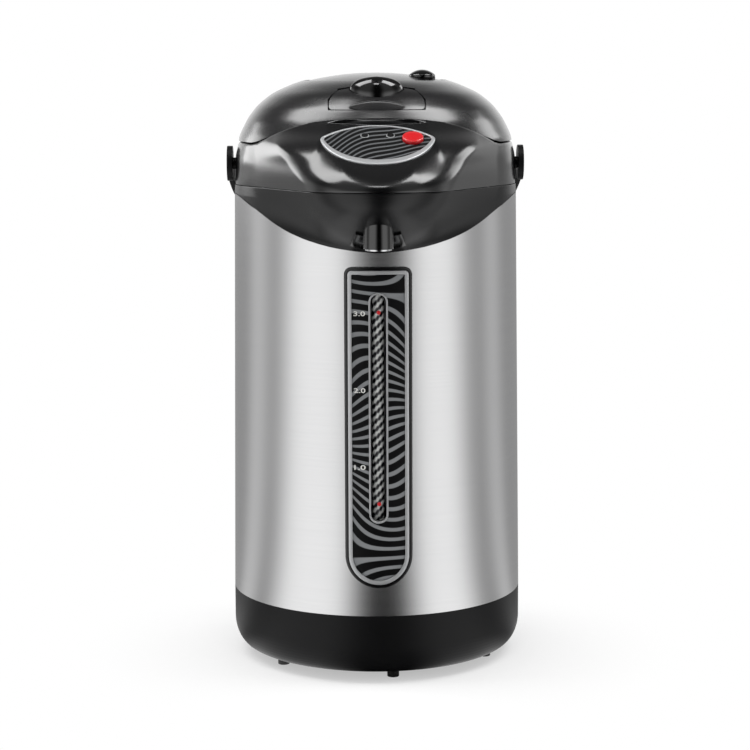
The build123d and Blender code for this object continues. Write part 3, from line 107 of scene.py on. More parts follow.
def run_length(path):
    """Distance along a path of points, from its start."""
    return np.concatenate([[0], np.cumsum(np.hypot(*np.diff(path, axis=0).T))])


def along(path, at):
    """Points of a path at distances along it."""
    length = run_length(path)
    return np.stack([np.interp(at, length, path[:, k]) for k in (0, 1)], -1)


def fine_meridian(count=600):
    """The dome's meridian as a natural spline of its points over the distance along them."""
    length = run_length(np.array(DOME))
    at = np.linspace(0, length[-1], count)
    return np.stack([natural_spline(length, column, at) for column in zip(*DOME)], -1)


DOME_FINE = fine_meridian()


def dome_r(z):
    """Radius of the dome at height z, read off its meridian."""
    return np.interp(z, DOME_FINE[:, 1], DOME_FINE[:, 0])


def dome_z(r):
    """Height of the dome's top side at radius r."""
    keep = DOME_FINE[:, 1] > 335
    return np.interp(r, DOME_FINE[keep, 0][::-1], DOME_FINE[keep, 1][::-1])


def steel_r(z):
    """Radius of the steel at height z: an even taper."""
    return BODY_R * (1.0 - TAPER * (z - SEAM_BASE_Z))


def lid_seam_z(y):
    """Height of the lid's seam at y."""
    seam = np.array(LID_SEAM)
    return np.interp(y, seam[:, 0], seam[:, 1])


def panel_z(y):
    """Height of the control panel's sloping plane at y."""
    return PANEL_Z + math.tan(PANEL_TILT) * (y - PANEL_Y)


def hull_radius(phi, tip, nose_r, body_r):
    """Distance from the axis, in direction phi from the front, to the hull of the body's circle
    and the nose circle: nose arc, then their common tangent, then the body's arc."""
    phi = np.abs(phi)
    c = tip - nose_r
    lean = np.arccos(np.clip((body_r - nose_r) / c, -1, 1))
    root = np.sqrt(np.maximum(nose_r ** 2 - (c * np.sin(phi)) ** 2, 0))
    nose = c * np.cos(phi) + root
    line = body_r / np.maximum(np.cos(phi - lean), 0.05)
    nose_end = np.arctan2(nose_r * np.sin(lean), c + nose_r * np.cos(lean))
    return np.where(phi < nose_end, nose, np.where(phi < lean, line, body_r))


def beak_radius(sections, phi, z):
    """hull_radius with tip, nose and body radius carried smoothly through the sections."""
    table = np.array(sections)
    tip, nose_r, body_r = (natural_spline(table[:, 0], table[:, i], z) for i in (1, 2, 3))
    return hull_radius(phi, tip, nose_r, body_r)


def new_object(name, data):
    """New object in the scene that carries data."""
    ob = bpy.data.objects.new(name, data)
    bpy.context.scene.collection.objects.link(ob)
    return ob


def mesh_object(name, verts, faces, smooth=True):
    """Mesh object at the origin from vertices in millimetres and faces."""
    data = bpy.data.meshes.new(name)
    data.from_pydata((np.asarray(verts) * MM).tolist(), [], [list(map(int, f)) for f in faces])
    data.update()
    data.polygons.foreach_set("use_smooth", np.full(len(data.polygons), smooth))
    return new_object(name, data)


def read_all(items, what, width=1, kind=float):
    """One value, or one row of width values, per item of a mesh."""
    values = np.empty(len(items) * width, kind)
    items.foreach_get(what, values)
    return values.reshape(-1, width) if width > 1 else values


def grid_faces(nu, nv, closed_u, closed_v=False, flip=False):
    """Quads of a grid of nu by nv points, row by row, closed round either way."""
    iu = np.arange(nu if closed_u else nu - 1)
    iv = np.arange(nv if closed_v else nv - 1)
    a, b = np.meshgrid(iu, iv, indexing="ij")
    a2, b2 = (a + 1) % nu, (b + 1) % nv
    quads = np.stack([a * nv + b, a2 * nv + b, a2 * nv + b2, a * nv + b2], -1).reshape(-1, 4)
    return quads[:, ::-1] if flip else quads


def grid_object(name, points, closed_v=False, caps=()):
    """Closed mesh of a grid of points (nu, nv, 3) that runs round in u; caps names the v ends
    closed with one face."""
    nu, nv = points.shape[:2]
    faces = [list(f) for f in grid_faces(nu, nv, True, closed_v)]
    faces += [[i * nv + (0 if end == "low" else nv - 1) for i in range(nu)] for end in caps]
    return clean(mesh_object(name, points.reshape(-1, 3), faces))


def edited(ob, change):
    """Object whose mesh has gone through change as a bmesh."""
    bm = bmesh.new()
    bm.from_mesh(ob.data)
    change(bm)
    bm.to_mesh(ob.data)
    bm.free()
    return ob


def clean(ob):
    """Merges doubles and turns the normals outwards."""
    def change(bm):
        bmesh.ops.remove_doubles(bm, verts=bm.verts, dist=0.02 * MM)
        bmesh.ops.recalc_face_normals(bm, faces=bm.faces)

    return edited(ob, change)


def round_angles(count):
    """Even angles of a full turn, as a column."""
    return np.linspace(0, 2 * np.pi, count, endpoint=False)[:, None]


def xyz(x, y, z):
    """Points from coordinates of shapes that fit together."""
    return np.stack(np.broadcast_arrays(x, y, z), -1)


def turned(r, phi, z, centre=(0, 0)):
    """Points at radius r and height z in direction phi, counted from the front."""
    return xyz(centre[0] + r * np.sin(phi), centre[1] - r * np.cos(phi), z)


def revolve(name, outline, turns=192, centre=(0, 0)):
    """Surface of revolution: each (radius, height) of the outline carried round the axis."""
    radius, height = np.asarray(outline, float).T
    return grid_object(name, turned(radius, round_angles(turns), height, centre), closed_v=True)


def rounded(points, radius, steps=5, closed=True):
    """Outline with each corner replaced by a small arc: a quadratic curve between two cuts."""
    pts = np.asarray(points, float)
    out = []
    n = len(pts)
    for i in range(n):
        p = pts[i]
        if not closed and i in (0, n - 1):
            out.append(p)
            continue
        a, b = pts[i - 1], pts[(i + 1) % n]
        la, lb = np.linalg.norm(a - p), np.linalg.norm(b - p)
        cut = min(radius, la * 0.45, lb * 0.45)
        start, end = p + (a - p) / la * cut, p + (b - p) / lb * cut
        for t in np.linspace(0, 1, steps):
            out.append((1 - t) ** 2 * start + 2 * t * (1 - t) * p + t ** 2 * end)
    return np.array(out)


def resample(path, count, soften):
    """Path resampled evenly by length, its corners softened by a bell-shaped average over a few
    tenths of a millimetre, with its ends kept by mirroring them."""
    gaps = np.hypot(*np.diff(path, axis=0).T)
    path = path[np.concatenate([[True], gaps > 1e-6])]
    fine = np.linspace(0, run_length(path)[-1], 900)
    half = max(1, int(soften / (fine[-1] / 899)))
    dense = along(path, fine)
    kernel = np.hanning(2 * half + 3)[1:-1]
    kernel /= kernel.sum()
    pad = len(kernel) // 2
    for column in dense.T:
        head = 2 * column[0] - column[pad:0:-1]
        tail = 2 * column[-1] - column[-2:-pad - 2:-1]
        column[:] = np.convolve(np.concatenate([head, column, tail]), kernel, "valid")
    at = np.linspace(0, fine[-1], count)
    return np.stack([np.interp(at, fine, column) for column in dense.T], -1)


def modifier(ob, kind, **settings):
    """Adds a modifier with the settings named."""
    mod = ob.modifiers.new(kind.title(), kind)
    for key, value in settings.items():
        setattr(mod, key, value)


def settled(ob):
    """Works out an object's modifiers at once and keeps the result as its mesh."""
    bpy.context.view_layer.update()
    deps = bpy.context.evaluated_depsgraph_get()
    new = bpy.data.meshes.new_from_object(ob.evaluated_get(deps))
    ob.modifiers.clear()
    ob.data = new
    return ob


def cut_with(ob, cutter):
    """Boolean difference, worked out at once so that the cutter can go."""
    modifier(ob, "BOOLEAN", operation="DIFFERENCE", object=cutter, solver="EXACT")
    settled(ob)
    bpy.data.objects.remove(cutter)
    return ob


def smooth_by_angle(ob, degrees=32.0):
    """Smooth shading with sharp edges where the surface turns by more than the angle."""
    ob.data.polygons.foreach_set("use_smooth", np.ones(len(ob.data.polygons), bool))

    def change(bm):
        for edge in bm.edges:
            if len(edge.link_faces) == 2:
                edge.smooth = edge.calc_face_angle(0) < math.radians(degrees)

    return edited(ob, change)


def smooth_copy(node, name, bevel=0.0):
    """Merged and smooth-shaded copy of a CAD node, with its edges softened."""
    def change(bm):
        bmesh.ops.remove_doubles(bm, verts=bm.verts, dist=0.01 * MM)
        bmesh.ops.dissolve_degenerate(bm, edges=bm.edges, dist=0.01 * MM)

    ob = smooth_by_angle(edited(new_object(name, NODES[node].data.copy()), change))
    if bevel:
        modifier(ob, "BEVEL", width=bevel * MM, segments=2, limit_method="ANGLE",
                 angle_limit=math.radians(40), harden_normals=False, use_clamp_overlap=True)
    return ob


# ---- materials ----
def linear(code):
    """Linear colour of an sRGB hex code."""
    c = np.array([int(code[i:i + 2], 16) for i in (1, 3, 5)]) / 255.0
    lin = np.where(c <= 0.04045, c / 12.92, ((c + 0.055) / 1.055) ** 2.4)
    return (*[float(v) for v in lin], 1.0)


def feed(mat, node, **links):
    """Feeds a node's inputs, by name with underscores for spaces or by number as i0, i1: with a
    value, or with another node's output."""
    for key, value in links.items():
        socket = node.inputs[int(key[1:]) if key[1:].isdigit() else key.replace("_", " ")]
        if isinstance(value, bpy.types.NodeSocket):
            mat.node_tree.links.new(value, socket)
        else:
            socket.default_value = value
    return node


def add(mat, kind, settings=None, **links):
    """Adds a shader node with the properties in settings, and feeds its inputs."""
    node = mat.node_tree.nodes.new("ShaderNode" + kind)
    for key, value in (settings or {}).items():
        setattr(node, key, value)
    return feed(mat, node, **links)


def math_node(mat, operation, *values):
    """Result of one arithmetic step on values or outputs."""
    inputs = {f"i{i}": value for i, value in enumerate(values)}
    return add(mat, "Math", {"operation": operation}, **inputs).outputs[0]


def times(mat, first, second):
    return math_node(mat, "MULTIPLY", first, second)


def plus(mat, first, second):
    return math_node(mat, "ADD", first, second)


def wave(mat, operation, place, period):
    """Sine or cosine of a place in metres that repeats after period metres."""
    return math_node(mat, operation, times(mat, place, 2 * math.pi / period))


def axes(mat, place, letters):
    """The coordinates named by letters, such as "XZ", of a place."""
    split = add(mat, "SeparateXYZ", i0=place)
    return [split.outputs[letter] for letter in letters]


def smooth_step(mat, value, start, end, low, high):
    """Carries a value smoothly from low at start to high at end."""
    return add(mat, "MapRange", {"interpolation_type": "SMOOTHSTEP"}, Value=value,
               i1=start, i2=end, i3=low, i4=high).outputs[0]


def ramp(mat, factor, stops):
    """Colour ramp with (place, colour) stops."""
    node = add(mat, "ValToRGB", i0=factor)
    while len(node.color_ramp.elements) < len(stops):
        node.color_ramp.elements.new(0.5)
    for element, (place, colour) in zip(node.color_ramp.elements, stops):
        element.position = place
        element.color = linear(colour)
    return node.outputs["Color"]


def finish_material(name):
    """New material with a Principled shader and object coordinates at hand."""
    mat = bpy.data.materials.new(name)
    mat.use_nodes = True
    mat.node_tree.nodes.clear()
    shader = add(mat, "BsdfPrincipled")
    add(mat, "OutputMaterial", Surface=shader.outputs[0])
    return mat, shader, add(mat, "TexCoord").outputs["Object"]


def mixed(mat, factor, first, second):
    """Blend of two colours, each an sRGB hex code."""
    colours = {"i6": linear(first), "i7": linear(second)}
    return add(mat, "Mix", {"data_type": "RGBA"}, i0=factor, **colours).outputs[2]


def stretched(mat, place, x, y, z):
    """Coordinates scaled along each axis: a pattern runs finer along the larger ones."""
    return add(mat, "Mapping", i0=place, Scale=(x, y, z)).outputs[0]


def noise(mat, place, scale, detail=3.0, rough=0.5):
    """Smooth noise from 0 to 1 with about scale lumps to a metre."""
    return add(mat, "TexNoise", Vector=place, Scale=scale, Detail=detail, Roughness=rough).outputs["Fac"]


def bump(mat, shader, height, distance, strength=1.0):
    """Surface relief, distance metres deep."""
    node = add(mat, "Bump", Height=height, Distance=distance, Strength=strength)
    feed(mat, shader, Normal=node.outputs[0])


def spread(mat, factor, low, high):
    """Carries a 0 to 1 value to the range low to high."""
    return add(mat, "MapRange", Value=factor, i3=float(low), i4=float(high)).outputs[0]


def plastic(name, dark, light, rough, grain, grain_scale, coat=0.0, coat_rough=0.05, mirror=0.5):
    """Moulded plastic: a fine even grain, faint clouds in colour and gloss. mirror says how
    strongly it mirrors the room."""
    mat, shader, place = finish_material(name)
    cloud = noise(mat, place, 35.0, 3.0)
    feed(mat, shader, Base_Color=mixed(mat, cloud, dark, light),
         Roughness=spread(mat, cloud, rough - 0.03, rough + 0.04), IOR=1.5,
         Specular_IOR_Level=mirror, Coat_Weight=coat, Coat_Roughness=coat_rough)
    bump(mat, shader, noise(mat, place, grain_scale, 2.0), grain)
    return mat


def metal(name, dark, light, rough, scale, depth, streak=(1.0, 1.0, 1.0), metallic=1.0):
    """Metal: brushed or drawn along one direction, with faint variation along the strokes.
    Less than fully metallic stands for a metal-flake paint."""
    mat, shader, place = finish_material(name)
    lines = noise(mat, stretched(mat, place, *streak), scale, 6.0, 0.65)
    feed(mat, shader, Base_Color=mixed(mat, lines, dark, light), Metallic=metallic,
         Roughness=spread(mat, lines, rough - 0.05, rough + 0.06))
    bump(mat, shader, lines, depth)
    return mat


# ---- surfaces of the head ----
# The bowl: height from which it is never inside the dome, how far it stands off the steel, how
# much it leans in above it, its gap over the steel's edge, and the lip turned in at the seam.
DOME_FOOT_Z, STEEL_CLEAR, STEEL_LEAN, BOWL_GAP, SEAM_LIP = 321.3, 0.12, 0.07, 0.3, 2.4
# Rounding of the beak's upper corner: longest stretch on the facet and on the flank, share of
# the facet's depth that each may take, and the least depth that is rounded.
EASE_FACET, EASE_FLANK, EASE_SHARE, EASE_LEAST = 16.5, 13.0, 0.42, 4.0


def dome_normals(points):
    """Normals of the dome at points in millimetres: at right angles to the meridian."""
    r = np.hypot(points[:, 0], points[:, 1])
    gap = (r[:, None] - DOME_FINE[None, :, 0]) ** 2 + (points[:, 2:3] - DOME_FINE[None, :, 1]) ** 2
    tangent = np.gradient(DOME_FINE, axis=0)
    tangent /= np.linalg.norm(tangent, axis=1)[:, None]
    near = tangent[np.argmin(gap, axis=1)]
    out = near[:, 1:] * points[:, :2] / np.maximum(r, 1e-6)[:, None]
    return np.concatenate([out, -near[:, :1]], 1)


def shade_as_dome(ob, degrees=22.0):
    """Gives face corners the dome's own normals, where the face is within degrees of them."""
    mesh = ob.data
    corner = read_all(mesh.corner_normals, "vector", 3)
    vertex = read_all(mesh.loops, "vertex_index", kind=int)
    corners_of = read_all(mesh.polygons, "loop_total", kind=int)
    face = np.repeat(read_all(mesh.polygons, "normal", 3), corners_of, axis=0)
    target = dome_normals(read_all(mesh.vertices, "co", 3) / MM)[vertex]
    on = (face * target).sum(1) > math.cos(math.radians(degrees))
    corner[on] = target[on]
    mesh.normals_split_custom_set(corner.tolist())
    return ob


def soft_max(a, b, width):
    """Larger of two values, rounded over where they cross."""
    near = np.maximum(width - np.abs(a - b), 0) / width
    return np.maximum(a, b) + near ** 2 * width / 4


def cut_height(y, top, width=16.0):
    """Height of the steel's sloping front edge at y, running smoothly into its level top."""
    return -soft_max(-(CUT_Z + CUT_SLOPE * (y - CUT_Y)), -np.full_like(y, top), width)


def eased(path, corner, before, after, lead=(0.78, 0.6), look=0.3):
    """Path with the corner at an index replaced by one cubic curve that leaves and joins it in
    its own directions, before and after millimetres away. lead says how far towards the corner
    the curve's inner points stand, look how much of the path gives its directions."""
    length = run_length(path)
    at = np.array([length[corner] - before, length[corner] + after])
    ends = along(path, at)
    towards = (ends - along(path, at + (-look, look))) / look
    t = np.linspace(0, 1, 60)[:, None]
    a, d = ends
    b, c = a + towards[0] * before * lead[0], d + towards[1] * after * lead[1]
    curve = (1 - t) ** 3 * a + 3 * t * (1 - t) ** 2 * b + 3 * t ** 2 * (1 - t) * c + t ** 3 * d
    return np.concatenate([path[length < at[0]], curve, path[length > at[1]]])


def head_seam_z(phi, r):
    """Height of the seam between the head's two halves, a plane that falls towards the rear."""
    return SEAM_HEAD_Z + SEAM_HEAD_RISE * r * np.cos(phi)


def lower_outline(phi, count=70):
    """Path of the lower shell in direction phi: out along its bottom edge, up the beak's hull,
    which is never inside the dome or the steel, to the seam, and in."""
    z = np.linspace(BEAK_LOW[0][0], BEAK_LOW[-1][0], 700)
    r = beak_radius(BEAK_LOW, phi, z)
    r = np.where(z > DOME_FOOT_Z, np.maximum(r, dome_r(z)), r)
    above_steel = np.maximum(z - STEEL_TOP_Z, 0)
    r = np.maximum(r, steel_r(np.minimum(z, STEEL_TOP_Z)) + STEEL_CLEAR - STEEL_LEAN * above_steel)
    bottom = cut_height(-r * np.cos(phi), STEEL_TOP_Z) + BOWL_GAP
    keep = (z >= bottom) & (z <= head_seam_z(phi, r) - SEAM_HALF)
    r, z = r[keep], z[keep]
    start = [[min(steel_r(z[0]) - 2.0, r[0] - 1.0), z[0]]]
    end = [[r[-1] - SEAM_LIP, z[-1]]]
    return resample(np.concatenate([start, np.stack([r, z], -1), end]), count, soften=0.45)


def upper_outline(phi, count=130):
    """Path of the upper shell in direction phi: in at the seam, up the flank, over the facet or
    the ledge of the lid's seam, and down the collar."""
    z = np.linspace(BEAK_HIGH[0][0], BEAK_HIGH[-1][0], 900)
    r = soft_max(beak_radius(BEAK_HIGH, phi, z), dome_r(z), 0.8)
    keep = z >= head_seam_z(phi, r) + SEAM_HALF
    r, z = r[keep], z[keep]
    y = -r * np.cos(phi)
    top = np.where(y < FACET_Y, panel_z(y), lid_seam_z(y))
    stop = int(np.argmax(z >= top)) if (z >= top).any() else len(z) - 1
    flank = np.stack([r[:stop], z[:stop]], -1)
    room = r[stop] - COLLAR_R
    inward = np.linspace(r[stop], COLLAR_R, 400) if room > 0 else np.array([r[stop], r[stop] - 0.5])
    y = -inward * np.cos(phi)
    rise = np.clip((LEDGE_R - inward) / LEDGE_RUN, 0, 1)
    ledge = panel_z(y) + rise * np.maximum(lid_seam_z(y) - panel_z(y), 0)
    level = np.minimum(np.where(y < FACET_Y, ledge, lid_seam_z(y)), np.interp(-inward, -r, z))
    body = np.concatenate([flank, np.stack([inward, level], -1)])
    if room > EASE_LEAST and stop > 20:
        after = min(EASE_FACET, EASE_SHARE * room)
        before = min(EASE_FLANK, EASE_SHARE * room, z[stop] - z[0] - 0.4)
        body = eased(body, stop, before, after)
    start = [[body[0, 0] - SEAM_LIP, body[0, 1]]]
    end = [[body[-1, 0], body[-1, 1] - COLLAR_DROP]]
    return resample(np.concatenate([start, body, end]), count, soften=0.5)


def head_shell(name, outline, turns):
    """Closed ring of outlines, each in its own half plane through the axis."""
    angle = np.linspace(-np.pi, np.pi, turns, endpoint=False)
    radius, height = np.stack([outline(float(a)).T for a in angle], 1)
    return grid_object(name, turned(radius, angle[:, None], height))


def steel_body(edge_r=97.2, slot_phi=0.07, tuck=1.2):
    """Tapered steel jacket: sheets of points on its cone, in each half three beside the slot, one
    below and one above it. The top ones run up to the sloping front edge, tucked under the bowl.
    A turn of 0 to 1 crosses the slot, 1 to 2 the rest."""
    def direction(turn, half):
        """Angle of a turn where the slot's half width takes up the angle half."""
        return np.where(turn < 1, turn * half, half + (turn - 1) * (np.pi - half))

    def above(turn):
        """Heights from the slot's top to the steel's edge."""
        phi = direction(turn, slot_phi)
        tucked = np.clip((math.radians(60) - phi) / math.radians(8), 0, 1)
        edge = cut_height(-edge_r * np.cos(phi), STEEL_TOP_Z) + tuck * tucked
        return SLOT_TOP + np.linspace(0, 1, 10) * (edge - SLOT_TOP)

    wide, narrow = np.linspace(1, 2, 120)[:, None], np.linspace(0, 1, 5)[:, None]
    low = np.linspace(SEAM_BASE_Z, SLOT_LOW, 4)
    sheets = ((wide, low), (wide, np.linspace(SLOT_LOW, SLOT_TOP, 8)), (narrow, low),
              (wide, above(wide)), (narrow, above(narrow)))
    verts, faces = [], []
    for side in (1, -1):
        for turn, z in sheets:
            r = steel_r(z)
            points = turned(r, direction(turn, np.arcsin(SLOT_HALF / r)), z) * (side, 1, 1)
            quads = grid_faces(*points.shape[:2], False, flip=side < 0)
            faces += (quads + sum(map(len, verts))).tolist()
            verts.append(points.reshape(-1, 3))
    ob = clean(mesh_object("steel_jacket", np.concatenate(verts), faces))
    modifier(ob, "SOLIDIFY", thickness=STEEL_WALL * MM, offset=-1.0, use_even_offset=False)
    return smooth_by_angle(settled(ob), 40)


# ---- sight gauge ----
def capsule(size, inset):
    """Outline in x and z of a size, moved inwards by inset, anticlockwise from the top middle:
    rounded top corners, straight sides and a round bottom."""
    half, low, top = size[0] - inset, size[1] + inset, size[2] - inset
    corner = max(size[3] - inset, 0.9)
    quarter = np.linspace(0, np.pi / 2, 10)
    bottom = np.linspace(np.pi, 2 * np.pi, 41)[1:-1]
    side = np.linspace(0, 1, 42)[1:-1]
    middle = low + half
    left = [np.stack([np.linspace(0, -half + corner, 12)[:-1], np.full(11, top)], -1),
            np.stack([-half + corner - corner * np.sin(quarter),
                      top - corner + corner * np.cos(quarter)], -1),
            np.stack([np.full(40, -half), top - corner + side * (middle - top + corner)], -1)]
    left = np.concatenate(left)
    foot = np.stack([half * np.cos(bottom), middle + half * np.sin(bottom)], -1)
    return np.concatenate([left, foot, left[:0:-1] * (-1, 1)])


def on_steel(flat, proud):
    """Points (x, z) of a flat drawing laid on the steel, proud of it."""
    r = steel_r(flat[..., 1]) + proud
    return xyz(flat[..., 0], -np.sqrt(r ** 2 - flat[..., 0] ** 2), flat[..., 1])


def gauge_ring(name, profile):
    """Closed ring round the gauge: (inset from the outline, height over the steel) pairs."""
    loops = [on_steel(capsule(GAUGE_SIZE, i), up) for i, up in rounded(profile, 0.3, 4)]
    return grid_object(name, np.stack(loops, 1), closed_v=True)


def gauge_plate():
    """Face of the gauge from its bezel to the window's rim, with both edges turned in."""
    outer, inner = capsule(GAUGE_SIZE, GAUGE_RIM), capsule(WINDOW_SIZE, 0.2)
    rows = [on_steel((1 - t) * outer + t * inner, 1.6) for t in np.linspace(0, 1, 14)]
    return grid_object("gauge_plate", np.stack([on_steel(outer, 0.2), *rows, on_steel(inner, -0.7)], 1))


def slot_rim():
    """Raised rim of the window that reaches down into the slot."""
    section = rounded([(0.0, 1.5), (0.0, 2.05), (1.1, 2.05), (1.1, -0.6)], 0.3, 4, closed=False)
    loops = [on_steel(capsule(WINDOW_SIZE, i), up) for i, up in section]
    return grid_object("slot_rim", np.stack(loops, 1))


def window_pane():
    """Clear pane inside the slot: its outline shrunk towards the middle line, front and back."""
    loop = capsule(WINDOW_SIZE, 1.05)
    level = np.clip(loop[:, 1], WINDOW_SIZE[1] + 6.4, WINDOW_SIZE[2] - 6.4)
    middle = np.stack([np.zeros(len(loop)), level], -1)
    share = np.linspace(0.02, 1, 8)
    front = [on_steel((1 - t) * middle + t * loop, 1.2) for t in share]
    back = [on_steel((1 - t) * middle + t * loop, 0.3) for t in share[::-1]]
    return grid_object("window_pane", np.stack(front + back, 1))


def flat_text(name, words, height, width, x, z, proud, depth=0.12):
    """Raised characters bent round the steel, centred on x and z."""
    curve = bpy.data.curves.new(name, "FONT")
    curve.body = words
    curve.align_x = "CENTER"
    curve.extrude = 0.5
    curve.offset = 0.018
    curve.resolution_u = 4
    raw = new_object(name + "_raw", curve)
    bpy.context.view_layer.update()
    mesh = bpy.data.meshes.new_from_object(raw.evaluated_get(bpy.context.evaluated_depsgraph_get()))
    bpy.data.objects.remove(raw)
    co = read_all(mesh.vertices, "co", 3)
    low, high = co.min(0), co.max(0)
    shift = (co - (low + high) / 2) / (high - low)
    flat = np.stack([x + shift[:, 0] * width, z + shift[:, 1] * height], -1)
    bent = on_steel(flat, proud + (co[:, 2] + 0.5) * depth) * MM
    mesh.vertices.foreach_set("co", bent.ravel())
    mesh.update()
    return new_object(name, mesh)


def dot_mark(name, x, z, radius, y):
    """Small domed dot facing the front."""
    angle = round_angles(32)
    reach, proud = np.array([(1.0, 0.0), (0.98, 0.2), (0.7, 0.34), (0.3, 0.4), (0.02, 0.41)]).T
    across, up = radius * reach * np.cos(angle), radius * reach * np.sin(angle)
    return grid_object(name, xyz(x + across, y - proud, z + up), caps=("low",))


# ---- spout and control panel ----
# On the panel, x and distance down its slope: the plate's lens (tip, upper and lower peak), the
# red button and the lamps.
PLATE_LENS = ((34.9, 16.0), 1.3, 42.6)
RED_X, RED_S = 22.4, 16.9
LAMP_X, LAMP_S = 8.25, 12.6


def spout_pieces():
    """Black spout sleeve with a bright lip round its mouth."""
    sleeve = [(9.65, 292.3), (9.65, 311.0), (4.5, 313.2), (4.5, 308.0), (8.7, 306.0), (8.7, 292.3)]
    lip = [(7.4, 291.2), (8.5, 291.2), (8.6, 297.0), (7.4, 297.0)]
    pieces = (("spout_sleeve", sleeve, 0.5), ("spout_lip", lip, 0.35))
    return [revolve(name, rounded(line, soft), 96, (0, SPOUT_Y)) for name, line, soft in pieces]


def on_panel(x, s, up):
    """Point of the control panel: x to the right, s down its slope, up out of it."""
    y = PANEL_TOP_Y - s * math.cos(PANEL_TILT) - up * math.sin(PANEL_TILT)
    z = panel_z(PANEL_TOP_Y) - s * math.sin(PANEL_TILT) + up * math.cos(PANEL_TILT)
    return xyz(x, y, z)


def arc_through(tip, peak, count):
    """Arc in x and s from one tip of the lens over its peak to the other tip."""
    half, level = tip
    rise = level - peak
    r = (half ** 2 + rise ** 2) / (2 * abs(rise))
    centre = peak + math.copysign(r, rise)
    reach = math.asin(min(1.0, half / r))
    if abs(rise) > half:
        reach = math.pi - reach
    turn = np.linspace(-reach, reach, count)
    return np.stack([r * np.sin(turn), centre - math.copysign(1, rise) * r * np.cos(turn)], -1)


def lens(tip, top, bottom, soft=1.2):
    """Closed outline of a lens: upper arc, lower arc, with its tips softened."""
    upper = arc_through(tip, top, 61)
    lower = arc_through(tip, bottom, 81)[::-1]
    loop = np.concatenate([upper[:-1], lower[:-1]])
    kernel = np.hanning(9)
    kernel /= kernel.sum()
    wrapped = np.concatenate([loop[-4:], loop, loop[:4]])
    smooth = np.stack([np.convolve(column, kernel, "valid") for column in wrapped.T], -1)
    away = np.hypot(np.abs(loop[:, 0]) - tip[0], loop[:, 1] - tip[1])
    share = np.clip(1 - away / (soft * 4), 0, 1)[:, None]
    return loop * (1 - share) + smooth * share


def panel_rim():
    """Rounded rim round the panel's plate."""
    outer, inner = lens((37.0, 15.7), 0.0, 48.3), lens(*PLATE_LENS)
    section = rounded([(0.0, -0.9), (0.0, 0.9), (1.0, 0.9), (1.0, -0.9)], 0.45, 5)
    rows = [on_panel(*((1 - t) * outer + t * inner).T, up) for t, up in section]
    return grid_object("panel_rim", np.stack(rows, 1), closed_v=True)


def round_spot(x, s, line, turns):
    """Points of a line of (radius, height) pairs carried round the spot (x, s) of the panel."""
    radius, up = np.asarray(line, float).T
    angle = round_angles(turns)
    return on_panel(x + radius * np.cos(angle), s + radius * np.sin(angle), up)


def panel_drum(name, x, s, outline, turns=64):
    """Round piece standing on the panel: (radius, height) pairs from foot to top, closed."""
    line = [(0.01, outline[0][1]), *outline, (0.01, outline[-1][1])]
    return grid_object(name, round_spot(x, s, line, turns), caps=("low", "high"))


def lamp_ring(name, x, s):
    """Raised ring round a lamp."""
    section = rounded([(2.75, -0.2), (2.75, 0.5), (2.05, 0.5), (2.05, -0.2)], 0.12, 3)
    return grid_object(name, round_spot(x, s, section, 56), closed_v=True)


def panel_plate():
    """Face plate of the control panel with a clear hole for the button and the lamps."""
    loop = lens(*PLATE_LENS)
    n = len(loop)
    verts = np.concatenate([on_panel(*loop.T, 0.35), on_panel(*loop.T, -0.9)])
    faces = [list(range(n)), list(range(2 * n - 1, n - 1, -1))]
    faces += [[i, (i + 1) % n, n + (i + 1) % n, n + i] for i in range(n)]
    ob = clean(mesh_object("panel_plate", verts, faces, smooth=False))
    for x, s, r in ((RED_X, RED_S, 7.3), (-LAMP_X, LAMP_S, 2.25), (LAMP_X, LAMP_S, 2.25)):
        ob = cut_with(ob, panel_drum("cutter", x, s, [(r, -3.0), (r, 3.0)]))
    return ob


# ---- lid furniture ----
# Radius of the flap's front edge and of the lid's strip before it, and half the flap's width.
FLAP_R, LIP_R, FLAP_HALF = 81.6, 81.95, 31.3
# Knob on the press plate.
KNOB_SPOT = (31.6, -16.0)


def lens_level(outline, z):
    """A lens laid at a height over the lid: its second coordinate runs towards the front."""
    return xyz(outline[:, 0], -outline[:, 1], z)


def button_dome(crown=400.6, foot=384.0):
    """Release button: its lens outline shrunk towards the middle while the height rises as a
    quarter ellipse from the lid's surface, on a straight skirt."""
    outline = lens((17.7, 60.5), 51.6, 71.8, 2.4)
    middle = np.array([0.0, 61.2])
    edge = dome_z(np.hypot(*outline.T)) - 0.2
    rows = [lens_level(outline, foot)]
    for t in np.sin(np.linspace(0, np.pi / 2, 26))[::-1]:
        rise = (crown - edge) * math.sqrt(1 - t * t)
        rows.append(lens_level(middle + t * (outline - middle), edge + rise))
    return grid_object("button_cap", np.stack(rows, 1), caps=("low",))


